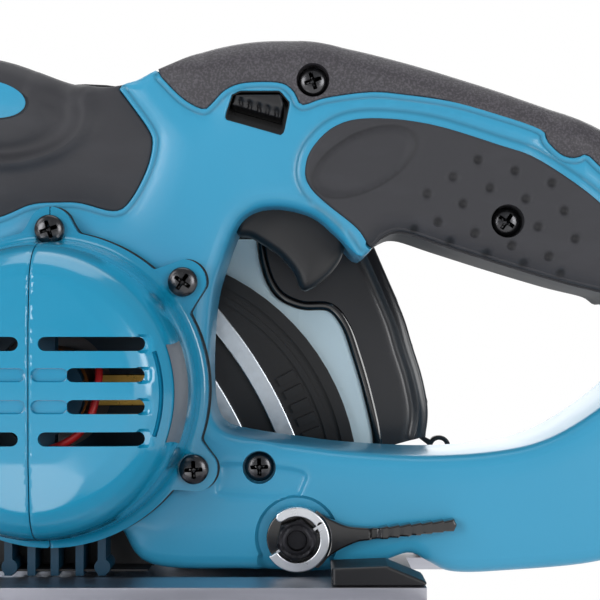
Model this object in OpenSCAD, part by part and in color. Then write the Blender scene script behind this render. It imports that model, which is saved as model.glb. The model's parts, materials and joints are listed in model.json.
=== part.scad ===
// Track plunge saw, shown plunged to full depth.
// X runs to the rear, Y runs from the motor side to the blade side, Z is up.
// Z = 0 is the underside of the sole, X = 0 lies above the blade spindle,
// Y = 0 is the plane where the two handle halves meet.

/* [Blade and gears] */
// Diameter of the saw blade
blade_d = 165; // [160:1:168]
// Thickness of the blade body
blade_t = 1.6; // [1.2:0.1:2]
// Width that the teeth cut
kerf = 2.2; // [2:0.1:2.8]
// Diameter of the blade bore
bore_d = 20; // [16:1:20]
// Number of blade teeth
blade_teeth = 48; // [24:2:56]
// Deepest cut below the sole
cut_depth = 55; // [50:1:56]
// Middle plane of the blade
blade_y = 76; // [74:0.5:78]
// Gear module
gear_module = 1.25; // [1.2:0.01:1.3]
// Teeth on the motor pinion
pinion_teeth = 9; // [9:1:10]
// Teeth on the idler gear
idler_teeth = 16; // [15:1:17]
// Teeth on the spindle gear
gear_teeth = 32; // [31:1:33]
// Width of the gears
gear_w = 11; // [8:0.5:12]

/* [Motor] */
// How far the motor end cover reaches past the motor housing tube
cover_lip = 5; // [4:0.5:6]
// How far the end cover stands out from its flange
cover_h = 42.7; // [40:0.1:46]
// Wall of the end cover
cover_wall = 2.5; // [2:0.1:3]
// Radius of the motor housing tube
motor_r = 42; // [41:0.5:43]
// Height of one cooling slot
slot_h = 3.9; // [3:0.1:4.5]
// Radius of the armature core
armature_r = 26; // [22:0.5:27]
// Radius of the armature shaft
shaft_r = 4; // [3.5:0.1:4.5]

/* [Handle] */
// Half of the handle thickness
handle_t = 24; // [23:0.5:25]
// Thickness of covers and soft grips on the handle
skin = 3; // [2:0.1:4]
// Half width of the trigger
trigger_t = 9; // [7:0.5:10]
// Travel of the lock-off lever
lock_travel = 3.5; // [2:0.1:3.5]
// Head radius of the housing screws
screw_r = 4.4; // [3.5:0.1:4.8]

/* [Case] */
// Wall of the blade case
case_wall = 2.2; // [1.8:0.1:3]
// Gap between the blade tip and the case rim
blade_gap = 2; // [1:0.1:4]
// Motor side face of the blade case
case_y = 66; // [65:0.5:67]
// Depth of the blade case
case_w = 24; // [23:0.5:26]
// Radius of the plunge pivot pin
pivot_r = 6; // [5:0.5:7]
// Angle that the head is raised from full depth
plunge_deg = 31; // [25:1:33]
// Outer radius of the dust nozzle
nozzle_r = 15; // [13:0.5:15]
// Wall of the dust nozzle
nozzle_wall = 2; // [1.5:0.1:3]

/* [Base] */
// Thickness of the sole plate
sole_t = 4; // [3:0.1:4.5]
// Front end of the sole
sole_front = -152; // [-160:1:-150]
// Rear end of the sole
sole_rear = 97; // [97:1:104]
// Motor side edge of the sole
sole_left = -112; // [-120:1:-100]
// Blade side edge of the sole
sole_right = 74; // [72:0.5:74]
// Width of the guide rail channel
rail_w = 15; // [13:0.1:16]
// Depth of the guide rail channel
rail_depth = 4.4; // [3:0.1:5]
// Radius of the bevel clamp studs
stud_r = 3; // [2.5:0.1:3.5]

/* [Fits] */
// Radial clearance of a running fit
run_fit = 0.05; // [0.02:0.01:0.09]
// Gap between parts that move past each other
gap = 0.4; // [0.3:0.05:0.5]

/* [Hidden] */
$fn = 64;
blade_r = blade_d / 2;
spindle = [0, blade_r - cut_depth];
motor = spindle + [-13.1, 36];
pivot = [-108, 26];
cover_r = motor_r + cover_lip;
cover_y = -handle_t - gap;
dome_y = cover_y - cover_h;

// Shape helpers

// Closed smooth curve through the points, n steps a span
function curve(p, n) = let (c = len(p)) [
    for (i = [0:c - 1], k = [0:n - 1])
        let (a = p[(i + c - 1) % c], b = p[i], d = p[(i + 1) % c], e = p[(i + 2) % c], t = k / n)
        let (s2 = 2 * a - 5 * b + 4 * d - e, s3 = 3 * b - a - 3 * d + e)
        0.5 * (2 * b + (d - a) * t + s2 * t * t + s3 * t * t * t)
];
function unit(v) = v / norm(v);
// Outline moved inwards by d; the points run anticlockwise seen from the motor side
function inset(p, d) = let (c = len(p)) [
    for (i = [0:c - 1])
        let (t = unit(p[(i + 1) % c] - p[(i + c - 1) % c]))
        p[i] + d * [-t[1], t[0]]
];
function arc(c, r, a0, a1, n) = [for (i = [0:n]) let (a = a0 + (a1 - a0) * i / n) c + r * [cos(a), sin(a)]];
// Points turned about a centre
function turned(p, c, a) = [
    for (q = p)
        let (d = q - c)
        c + [d[0] * cos(a) - d[1] * sin(a), d[0] * sin(a) + d[1] * cos(a)]
];

// Prism of an X-Z outline between two Y planes
module slab(p, y0, y1) {
    translate([0, y1, 0]) rotate([90, 0, 0]) linear_extrude(y1 - y0) polygon(p);
}
// Cylinder along Y between two planes
module rod(c, y0, y1, r) {
    translate([c[0], y1, c[1]]) rotate([90, 0, 0]) cylinder(h = y1 - y0, r = r);
}
module ring(c, y0, y1, r0, r1) {
    difference() {
        rod(c, y0, y1, r1);
        rod(c, y0 - 1, y1 + 1, r0);
    }
}
// Prism of a Y-Z outline between two X planes
module wall_x(p, x0, x1) {
    translate([x0, 0, 0]) rotate([90, 0, 90]) linear_extrude(x1 - x0) polygon(p);
}
module rod_x(y, z, x0, x1, r) {
    translate([x0, y, z]) rotate([0, 90, 0]) cylinder(h = x1 - x0, r = r);
}
module box(lo, hi) {
    translate(lo) cube(hi - lo);
}
// Handle outlines, seen from the motor side

handle_pts = [
    [16, 10], [46, 8.6], [67, 7.8], [85, 10.8], [94, 13.5], [100, 10.8], [107, 7.8], [122, 8], [152, 11],
    [172, 19], [183, 36], [186, 62], [183, 88], [175, 113], [166, 130], [154, 142],
    [129, 151.7], [110, 158], [92, 163.2], [75, 167.2], [61, 169.4], [45, 169], [30, 165.6], [18, 160],
    [5, 155], [-10, 157], [-29, 163.4], [-48, 165.5], [-66, 160], [-75, 147], [-72, 132], [-60, 121],
    [-44, 116], [-56, 100], [-66, 82], [-68, 60], [-62, 38], [-50, 30], [-30, 44], [-8, 40], [6, 22]
];
// The hand opening keeps its wall to the motor
front_x = motor[0] + motor_r + 4.3;
opening_pts = [
    [46, 48.4], [61, 46.2], [76, 44.4], [100, 43.2], [121.6, 44.7], [137, 48.7], [152, 57.8], [163, 68],
    [166, 79], [161, 88], [154, 92.6], [141.5, 95.7], [123, 101.2], [104.4, 107.1], [92, 111], [86, 109.6],
    [79.5, 103.2], [72, 110], [64, 116.2], [52, 118.4], [43, 114.5], [front_x + 4.2, 101.7],
    [front_x + 0.8, 88], [front_x, 64], [front_x + 2.8, 52]
];
cover_low = [
    [19, 157.5], [25.4, 151.1], [31.4, 147.8], [34, 149], [38.4, 153.5], [44.4, 155.7], [55, 155.7],
    [59.2, 152.9], [61.6, 149], [68.5, 151.1], [82, 152.9], [92, 152.2], [106, 150.2], [118.4, 146.9],
    [133.4, 141.8], [135.6, 138.1], [140, 133.9], [144.3, 133], [147.5, 134], [152, 130], [162, 121],
    [172, 104]
];
grip_low = [
    [80, 100], [92, 105], [123, 96], [157, 87], [160, 96], [158, 110], [150.3, 120.2], [133.1, 132.2],
    [121.1, 136.7], [100.1, 143], [82, 144.8], [71.5, 142.4], [64.6, 135.8], [62.5, 129.2], [64, 124],
    [69, 119], [77.7, 112], [81, 107]
];
front_low = [
    [6.5, 153.8], [9.9, 149.3], [15.6, 141.2], [16.5, 136.7], [14.7, 129.2], [9.9, 120.2], [5, 116.9],
    [-5, 119.3], [-11, 119.6], [-20, 119], [-28, 115.7], [-40, 112]
];
window_pts = [
    [40.5, 152], [42.9, 153.2], [55, 153.2], [58, 149.6], [56.2, 140.6], [55.3, 139.7], [38.4, 144.5],
    [38.7, 146.6]
];
// The lever fills the window except for its travel and a gap below it
lock_low = 140.7 + lock_travel + 0.6;
lock_pts = [[41.6, 152.2], [55, 152.2], [56.2, 149.5], [55.3, lock_low], [40.2, lock_low + 4.2]];
trigger_pivot = [46, 120];
trigger_pts = [
    [40.5, 113], [42, 122], [50, 126.5], [64, 123], [75.5, 110.5], [69, 97.6], [64.2, 93.8], [60.4, 94.4],
    [55.6, 102.6], [51.5, 107], [47.7, 109.5], [43, 111]
];
trigger_room = [
    [37, 108], [38.5, 124], [47, 131], [68, 130], [79.5, 118], [79.5, 104], [68, 96], [50, 100]
];
grip_room = [
    [83, 137], [112, 137], [150, 120], [160, 108], [160, 96], [148, 103], [114, 114], [83, 118]
];
arm_room = [[50, 38], [100, 36], [150, 44], [172, 62], [175, 48], [160, 22], [110, 17], [84, 21], [50, 28]];

handle_line = curve(handle_pts, 3);
opening_line = curve(opening_pts, 3);
room_t = 16;
module cover_zone() {
    slab(concat(cover_low, [[210, 110], [210, 190], [8, 190], [16, 160.5]]), -handle_t - 1, handle_t + 1);
}
module front_zone() {
    slab(concat(front_low, [[-90, 112], [-90, 175], [4, 175]]), -handle_t - 1, handle_t + 1);
}
// The half on the blade side, with the pockets and rooms that take the other pieces
module half() {
    difference() {
        slab(handle_line, 0, handle_t);
        cover_zone();
        front_zone();
        slab(opening_line, -handle_t - 1, handle_t + 1);
        rod(motor, -handle_t - 1, handle_t + 1, motor_r + gap);
        grip_pocket();
        slab(trigger_room, -trigger_t - gap, trigger_t + gap);
        slab(grip_room, -room_t, room_t);
        slab(arm_room, -room_t, room_t);
    }
}
module grip_pocket() {
    slab(grip_low, handle_t - skin, handle_t + 1);
}

// Handle pieces

// Screw ears of the motor cover, as distance past its rim and angle about the motor
ear_at = [[0.3, 90], [3.63, 38.91], [1.79, -28.93], [1.53, -150.90], [3.40, 140.88]];
cover_screw_at = [for (q = ear_at) motor + (cover_r + q[0]) * [cos(q[1]), sin(q[1])]];
handle_screw_at = [[64.9, 156.4], [123.4, 113.8], [48.7, 39.7]];
shank_r = 2;
shank_hole = shank_r + run_fit;
dial_at = [27, 131];
dial_r = 9;
bush_z = 97;
lever_at = [60.1, 18.8];
lever_bolt_r = 3.4;

module screw_holes(at, y0, y1) {
    for (c = at) rod(c, y0, y1, shank_hole);
}
module housing_cuts() {
    screw_holes(cover_screw_at, -handle_t - 1, -8);
    screw_holes(handle_screw_at, -handle_t - 1, 14);
    for (c = handle_screw_at) rod(c, -handle_t - 1, -handle_t + 5, screw_r + gap);
    slab(window_pts, -handle_t - 1, -8);
    rod(trigger_pivot, -14, 14, 2);
    rod(lever_at, -handle_t - 1, -10, lever_bolt_r);
    rod(dial_at, handle_t - 5, handle_t + 1, dial_r + gap);
    rod(dial_at, handle_t - 12, handle_t + 1, 2 + run_fit);
    rod_x(0, bush_z, 168, 200, 8);
}
module housing_left() {
    color([0.2, 0.62, 0.8]) difference() {
        mirror([0, 1, 0]) half();
        housing_cuts();
    }
}
module housing_right() {
    color([0.2, 0.62, 0.8]) difference() {
        half();
        housing_cuts();
    }
}
module top_cover() {
    color([0.2, 0.2, 0.21]) difference() {
        intersection() {
            slab(handle_line, -handle_t, handle_t);
            cover_zone();
        }
        for (c = handle_screw_at) rod(c, -handle_t - 1, -handle_t + 5, screw_r + gap);
        screw_holes(handle_screw_at, -handle_t - 1, 14);
        slab(window_pts, -handle_t - 1, -8);
        rod_x(0, bush_z, 168, 200, 8);
    }
}
module side_grip() {
    difference() {
        intersection() {
            slab(handle_line, 0, handle_t);
            grip_pocket();
        }
        slab(opening_line, -handle_t - 1, handle_t + 1);
    }
}
module grip_left() {
    color([0.17, 0.17, 0.18]) difference() {
        mirror([0, 1, 0]) side_grip();
        for (c = handle_screw_at) rod(c, -handle_t - 1, -handle_t + 5, screw_r + gap);
    }
}
module grip_right() {
    color([0.17, 0.17, 0.18]) side_grip();
}
module front_grip() {
    color([0.17, 0.17, 0.18]) difference() {
        intersection() {
            slab(handle_line, -handle_t, handle_t);
            front_zone();
        }
        screw_holes(cover_screw_at, -handle_t - 1, -8);
    }
}
module trigger() {
    color([0.14, 0.14, 0.15]) difference() {
        slab(trigger_pts, -trigger_t, trigger_t);
        rod(trigger_pivot, -20, 20, 2 + run_fit);
    }
}
module trigger_pin() {
    color("silver") rod(trigger_pivot, -13, 13, 2);
}
module lock_off_lever() {
    color([0.14, 0.14, 0.15]) slab(lock_pts, -handle_t + 0.8, -9);
}
module switch_block() {
    color([0.1, 0.1, 0.1]) difference() {
        box([84, -9, 118.5], [110, 15.9, 134.5]);
        for (x = [90, 104]) translate([x, 4, 130]) cylinder(h = 6, r = 1.5);
    }
}
module cord_bush() {
    color([0.1, 0.1, 0.1]) difference() {
        union() {
            rod_x(0, bush_z, 170, 192, 8);
            rod_x(0, bush_z, 187.5, 190, 9.5);
        }
        rod_x(0, bush_z, 160, 200, 4.2);
    }
}
module screws(at, seat) {
    for (c = at) {
        rod(c, seat - 3, seat, screw_r);
        rod(c, seat, -9, shank_r);
    }
}
module cover_screws() {
    color([0.08, 0.08, 0.08]) screws(cover_screw_at, cover_y - ear_h);
}
module handle_screws() {
    color([0.08, 0.08, 0.08]) for (c = handle_screw_at) {
        rod(c, -handle_t + 2, -handle_t + 5, screw_r);
        rod(c, -handle_t + 5, 13, shank_r);
    }
}
module speed_dial() {
    color([0.12, 0.12, 0.12]) difference() {
        union() {
            rod(dial_at, handle_t - 4.6, handle_t + 3, dial_r);
            rod(dial_at, handle_t - 11, handle_t, 2);
        }
        for (q = arc(dial_at, dial_r, 0, 330, 11)) rod(q, handle_t, handle_t + 5, 0.8);
    }
}

// Clamp lever on the lower arm

lever_y = -handle_t - gap;
lever_pts = [
    [62, 11], [71, 12.5], [80, 17.2], [106, 20], [108, 22.3], [106, 25], [80, 22.8], [71, 25.3], [62, 27]
];
jaw_r = 9.7;
nut_r = 6.2;
disc_t = 2.2;
lever_t = disc_t + gap;
module lever_nut() {
    color([0.08, 0.08, 0.08]) {
        difference() {
            translate([lever_at[0], lever_y - lever_t, lever_at[1]]) rotate([90, 0, 0])
                cylinder(h = 5, r = nut_r, $fn = 6);
            rod(lever_at, lever_y - 10, lever_y, 3.2);
        }
        rod(lever_at, lever_y - 7.6, -11, 3.2);
    }
}
module lever_jaw() {
    color([0.9, 0.92, 0.94]) difference() {
        rod(lever_at, lever_y - 5.5, lever_y - disc_t, jaw_r);
        rod(lever_at, lever_y - 9, lever_y, nut_r + gap);
        translate([lever_at[0] - 12, lever_y - 9, lever_at[1] - 4.5]) cube([10, 10, 9]);
    }
}
module clamp_lever() {
    color([0.08, 0.08, 0.08]) difference() {
        union() {
            rod(lever_at, lever_y - disc_t, lever_y, jaw_r - 0.6);
            slab(lever_pts, lever_y - 5, lever_y);
        }
        rod(lever_at, lever_y - 9, lever_y + 1, 3.2 + run_fit);
        rod(lever_at, lever_y - 9, lever_y - disc_t, jaw_r);
    }
}

// Motor

ear_h = 6;
ear_r = 7;
scallop_h = 25;
dome = [[0, 0], [28, 0.5], [36, 3.6], [42, 10], [45.5, 19], [cover_r, 29], [cover_r, cover_h]];
slot_rows = [[13.8, 4.6], [5.3, 12.3], [-3.4, 12.3], [-12.2, 4.6]];
slot_end = 29.6;
module revolve(p) {
    translate([motor[0], 0, motor[1]]) rotate([90, 0, 0]) rotate_extrude($fn = 96) polygon(p);
}
module motor_cover() {
    outer = [for (q = dome) [q[0], -dome_y - q[1]]];
    inner = [for (q = dome) [max(0, q[0] - cover_wall), -dome_y - min(cover_h, q[1] + cover_wall)]];
    difference() {
        union() {
            difference() {
                union() {
                    revolve(outer);
                    for (c = cover_screw_at) rod(c, cover_y - ear_h, cover_y, ear_r);
                }
                revolve(concat(inner, [[0, -cover_y - 0.01]]));
                rod(motor, cover_y - 10, cover_y + 1, cover_r - cover_wall);
                cover_slots();
            }
            intersection() {
                for (c = cover_screw_at) rod(c, cover_y - scallop_h, cover_y, screw_r + gap + 1.4);
                rod(motor, cover_y - scallop_h, cover_y, cover_r - 0.2);
            }
        }
        screw_holes(cover_screw_at, cover_y - 20, cover_y + 1);
        for (c = cover_screw_at) rod(c, dome_y, cover_y - ear_h, screw_r + gap);
    }
}
module cover_slots() {
    for (s = [-1, 1], w = slot_rows)
        translate([motor[0], dome_y - 1, motor[1] + w[0]]) {
            translate([s > 0 ? w[1] : -slot_end, 0, -slot_h / 2]) cube([slot_end - w[1], 8, slot_h]);
            for (e = [w[1], slot_end])
                translate([s * e, 8, 0]) rotate([90, 0, 0]) cylinder(h = 8, d = slot_h);
        }
}
module rear_side() {
    box([motor[0], -90, 0], [80, 0, 160]);
    rod(cover_screw_at[0], -50, 0, ear_r + 0.2);
}
module motor_cover_rear() {
    color([0.16, 0.6, 0.78]) intersection() {
        motor_cover();
        rear_side();
    }
}
module motor_cover_front() {
    color([0.16, 0.6, 0.78]) difference() {
        motor_cover();
        rear_side();
    }
}
rib_at = [-27, -20, -13, -5.5, 1.2];
rib_low = 7;
end_bearing_r = 9;
motor_end = 30;
module motor_housing() {
    color([0.12, 0.42, 0.58]) difference() {
        union() {
            rod(motor, cover_y + gap, motor_end, motor_r);
            for (x = rib_at) box([x - 1.2, cover_y + 2, rib_low], [x + 1.2, 20, motor[1] - 30]);
            for (x = [-26.7, 1.4]) rod([x, 9.6], cover_y + 2, 20, 2.4);
            rod(motor, -27, cover_y + gap + 1, motor_r - 1);
            for (s = [-1, 1]) translate([motor[0], 0, motor[1]]) {
                box([-5, -52, s > 0 ? 10 : -38.5], [5, -46, s > 0 ? 38.5 : -10]);
                box([-5, -52, s > 0 ? 33 : -38.5], [5, -25, s > 0 ? 38.5 : -33]);
            }
            rod(motor, -52, -46, end_bearing_r + 4);
        }
        rod(motor, -24.5, motor_end + 1, motor_r - 3);
        rod(motor, -53, -45, end_bearing_r);
        rod(motor, -30, 0, 18);
        for (i = [0:3]) box([rib_at[i] + 1.2, -16, 15], [rib_at[i + 1] - 1.2, 14, 40]);
    }
}
module stator() {
    color([0.45, 0.45, 0.47]) difference() {
        rod(motor, -18, 12, motor_r - 3.1);
        rod(motor, -19, 13, armature_r + 1);
    }
}
module armature() {
    color([0.5, 0.5, 0.52]) {
        rod(motor, -16, 10, armature_r);
        difference() {
            union() {
                rod(motor, -54, 37, shaft_r);
                rod(motor, 36, gear_y + gear_w + 1, nose_r);
            }
            rod(motor, -16, 10, armature_r - 2);
        }
    }
}
module commutator() {
    color([0.72, 0.45, 0.2]) ring(motor, -40, -22, shaft_r, 13);
}
module fan() {
    color([0.85, 0.85, 0.82]) difference() {
        union() {
            ring(motor, 15, 17, shaft_r, 35);
            ring(motor, 15, 26, shaft_r, 9);
            for (i = [0:11])
                translate([motor[0], 0, motor[1]]) rotate([0, i * 30, 0]) box([8, 16, -1], [35, 26, 1]);
        }
        rod(motor, 10, 30, shaft_r);
    }
}
module pinion() {
    color("silver") difference() {
        slab(gear_line(pinion_teeth, motor, pinion_phase), gear_y, gear_y + gear_w);
        rod(motor, 0, 80, nose_r);
    }
}
module brush_holders() {
    color([0.75, 0.6, 0.25]) for (s = [0, 1])
        translate([motor[0], 0, motor[1]]) mirror([s, 0, 0]) difference() {
            box([14.5, -36, -4.5], [37, -27, 4.5]);
            box([10, -34.5, -3.1], [35, -28.5, 3.1]);
        }
}
module carbon_brushes() {
    color([0.15, 0.15, 0.16]) for (s = [0, 1]) translate([motor[0], 0, motor[1]]) mirror([s, 0, 0])
        box([13.3, -34.4, -3], [30, -28.6, 3]);
}
module shaft_bearings() {
    color("silver") {
        ring(motor, -52, -46, shaft_r + run_fit, end_bearing_r);
        ring(motor, 31, 36, shaft_r + run_fit, end_bearing_r);
    }
}

// Gear train

nose_r = 2.8;
gear_y = 41.5;
addendum = 0.85;
dedendum = 1.1;
tooth_share = 0.4;
flank = 20;
function pitch_r(n) = gear_module * n / 2;
function tip_r(n) = pitch_r(n) + addendum * gear_module;
d_idler = pitch_r(idler_teeth) + pitch_r(gear_teeth);
d_pinion = pitch_r(idler_teeth) + pitch_r(pinion_teeth);
d_motor = norm(motor - spindle);
to_motor = atan2(motor[1] - spindle[1], motor[0] - spindle[0]);
idler_cos = (d_motor * d_motor + d_idler * d_idler - d_pinion * d_pinion) / (2 * d_motor * d_idler);
to_idler = to_motor - acos(idler_cos);
idler = spindle + d_idler * [cos(to_idler), sin(to_idler)];
idler_to_motor = atan2(motor[1] - idler[1], motor[0] - idler[0]);
// The spindle gear points a tooth at the idler, the idler a gap at the spindle
gear_phase = to_idler;
idler_phase = to_idler + 180 + 180 / idler_teeth;
idler_share = (idler_to_motor - idler_phase) * idler_teeth / 360;
pinion_phase = idler_to_motor + 180 - (0.5 - idler_share) * 360 / pinion_teeth;
function gear_line(n, c, phase) = [
    for (i = [0:n - 1])
        let (a = phase + i * 360 / n, h = tooth_share * 180 / n)
        let (ra = tip_r(n), rf = pitch_r(n) - dedendum * gear_module)
        let (hf = h + dedendum * gear_module * tan(flank) / rf * 180 / PI)
        let (ha = h - addendum * gear_module * tan(flank) / ra * 180 / PI)
        each [for (q = [[rf, -hf], [ra, -ha], [ra, ha], [rf, hf]]) c + q[0] * [cos(a + q[1]), sin(a + q[1])]]
];
module idler_gear() {
    color("silver") difference() {
        slab(gear_line(idler_teeth, idler, idler_phase), gear_y, gear_y + gear_w);
        rod(idler, 0, 80, idler_pin_r + run_fit);
    }
}
idler_pin_r = 3.5;
module idler_pin() {
    color("silver") rod(idler, gear_y - 5, gear_y + gear_w + 5, idler_pin_r);
}
module spindle_gear() {
    color("silver") difference() {
        slab(gear_line(gear_teeth, spindle, gear_phase), gear_y, gear_y + gear_w);
        rod(spindle, 0, 80, spindle_r);
    }
}
spindle_r = 7;
spindle_bearing_r = 13;
flange_r = 20;
blade_in = blade_y - blade_t / 2;
blade_out = blade_y + blade_t / 2;
flange_in = blade_in - 5;
module spindle_shaft() {
    color("silver") difference() {
        rod(spindle, gear_y - 6, blade_in, spindle_r);
        rod(spindle, blade_in - 15, blade_in + 1, 4);
    }
}
module spindle_bearings() {
    color("silver") {
        ring(spindle, gear_y - 6, gear_y - 1, spindle_r + run_fit, spindle_bearing_r);
        ring(spindle, gear_y + gear_w + 2, gear_y + gear_w + 9, spindle_r + run_fit, spindle_bearing_r);
    }
}
module inner_flange() {
    color("silver") difference() {
        union() {
            rod(spindle, flange_in, blade_in, flange_r);
            rod(spindle, blade_in, blade_out - 0.1, bore_d / 2 - run_fit);
        }
        rod(spindle, flange_in - 1, blade_in, spindle_r);
        rod(spindle, flange_in - 1, blade_out + 1, 4);
    }
}
module outer_flange() {
    color("silver") ring(spindle, blade_out, blade_out + 3.6, 4, flange_r);
}
module blade_bolt() {
    color([0.3, 0.3, 0.32]) {
        rod(spindle, blade_in - 14, blade_out + 3.6, 4);
        translate([spindle[0], blade_out + 8.6, spindle[1]]) rotate([90, 0, 0]) difference() {
            cylinder(h = 5, r = 7);
            translate([0, 0, -1]) cylinder(h = 4, r = 3.4, $fn = 6);
        }
    }
}
tooth_h = 4.5;
tip_pts = [[blade_r, 0], [blade_r - 3, 0.2], [blade_r - 3, -1.2], [blade_r - 0.5, -1.6]];
// One tooth of the blade body as radius and share of the tooth pitch
tooth_pts = [[blade_r - 0.4, 0], [blade_r - tooth_h, 0.06], [blade_r - tooth_h, 0.35], [blade_r - 1.6, 0.8]];
module saw_blade() {
    pitch = 360 / blade_teeth;
    body = [
        for (i = [0:blade_teeth - 1], q = tooth_pts)
            let (a = (i + q[1]) * pitch)
            spindle + q[0] * [cos(a), sin(a)]
    ];
    color([0.75, 0.76, 0.78]) difference() {
        union() {
            slab(body, blade_in, blade_out);
            translate([spindle[0], blade_y + kerf / 2, spindle[1]]) rotate([90, 0, 0])
                for (i = [0:blade_teeth - 1]) rotate(i * pitch) linear_extrude(kerf) polygon(tip_pts);
        }
        rod(spindle, 0, 100, bore_d / 2);
    }
}

// Gear housing and what turns with the head

cup_wall = 2.6;
cup_r = tip_r(gear_teeth) + 0.9 + cup_wall;
neck_r = spindle_bearing_r + 4;
boss_r = 13;
boss_y0 = 48;
boss_y1 = 62;
lock_x = 20;
module gear_housing() {
    color([0.7, 0.71, 0.73]) difference() {
        union() {
            rod(motor, motor_end + 0.1, 38, 42);
            rod(motor, 34, 58, 13);
            rod(idler, 36, 58, tip_r(idler_teeth) + 0.9 + cup_wall);
            rod(spindle, 34, 60, cup_r);
            rod(spindle, 50, flange_in - 0.6, neck_r);
            slab([pivot + [0, 12], pivot - [0, 12], [-10, 8], [-10, 48]], boss_y0 + 2, boss_y1 - 3);
            rod(pivot, boss_y0, boss_y1, boss_r);
            box([lock_x - 6, 46, 30], [lock_x + 6, 58, 66]);
        }
        rod(spindle, gear_y - 1, gear_y + gear_w + 2, tip_r(gear_teeth) + 0.9);
        rod(idler, gear_y - 1, gear_y + gear_w + 2, tip_r(idler_teeth) + 0.9);
        rod(motor, 36, gear_y + gear_w + 2, tip_r(pinion_teeth) + 0.9);
        rod(motor, 29, 36, end_bearing_r);
        rod(spindle, gear_y - 6.1, gear_y + gear_w + 9, spindle_bearing_r);
        rod(spindle, gear_y, 90, spindle_r + 1);
        rod(idler, gear_y - 5, gear_y + gear_w + 5, idler_pin_r);
        rod(pivot, 0, 90, pivot_r + run_fit);
        rod(pivot, boss_y1 - spring_w, boss_y1 + 1, spring_r);
        translate([lock_x, 52, 20]) cylinder(h = 60, r = lock_r + run_fit);
    }
}
lock_r = 3;
module spindle_lock() {
    color([0.1, 0.1, 0.1]) translate([lock_x, 52, 0]) {
        translate([0, 0, 57]) cylinder(h = 14, r = lock_r);
        translate([0, 0, 71]) cylinder(h = 3, r = 5);
    }
}
baffle_r = 81;
baffle_y = 42;
// Bright bands and the notched row lie on arcs about a point low in front
guard_c = spindle + [-82, -38.5];
guard_at = [[128.5, 136.5], [146, 152]];
tooth_row = [154.5, 161];
ridge_r = 72;
module sector(r0, r1, a0, a1, y0, y1) {
    slab(concat(arc(spindle, r1, a0, a1, 24), arc(spindle, r0, a1, a0, 24)), y0, y1);
}
// Band about guard_c, kept inside the ridge of the baffle
module band_arc(r, a0, a1, y0, y1) {
    intersection() {
        slab(concat(arc(guard_c, r[1], a0, a1, 24), arc(guard_c, r[0], a1, a0, 24)), y0, y1);
        sector(36, ridge_r - 0.5, 4, 74, y0, y1);
    }
}
module baffle_ring() {
    color([0.1, 0.1, 0.11]) {
        difference() {
            union() {
                sector(cup_r - 0.5, baffle_r, 2, 112, baffle_y, baffle_y + 2.3);
                sector(baffle_r - 4, baffle_r, 2, 112, baffle_y - 2, baffle_y + 1);
                sector(ridge_r, ridge_r + 2, 2, 112, baffle_y - 1.2, baffle_y + 1);
                for (a = [18.6:1.9:29])
                    band_arc(tooth_row, a, a + 1.05, baffle_y - 1.8, baffle_y + 1);
            }
            rod(spindle, 0, 80, cup_r);
            rod(idler, 0, 80, tip_r(idler_teeth) + 1 + cup_wall);
            rod(motor, 0, 80, 13.1);
            box([lock_x - 6.1, 40, 30], [lock_x + 6.1, 60, 67]);
        }
    }
}
module guard_rings() {
    color([0.75, 0.8, 0.82]) difference() {
        for (g = guard_at) band_arc(g, 10, 60, baffle_y - 2.4, baffle_y);
        rod(motor, 0, 80, 13.2);
    }
}

// Blade case, which tilts on the sole

tilt_y = blade_y - kerf / 2;
raised = turned([spindle], pivot, plunge_deg)[0];
case_r = blade_r + blade_gap + case_wall;
case_front = -120;
case_foot = 7;
case_line = curve(concat(
    [for (a = [50:20:170]) raised + case_r * [cos(a), sin(a)]],
    [[case_front, 52], [case_front - 1, 20], [case_front, -20], [0, -24], [82, -20], [86, 8], [89.5, 30]],
    [[94, 44], [105, 57], [100.5, 76], [95, 92], [86, 112], [70, 133]]), 4);
pivot_len = norm(spindle - pivot);
pivot_start = atan2(spindle[1] - pivot[1], spindle[0] - pivot[0]);
slot_half = neck_r + 1.2;
nozzle_at = [blade_y + 3, 131];
collar_r = nozzle_r + run_fit + 2.4;
collar_x0 = 64;
collar_x1 = 86;
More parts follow.
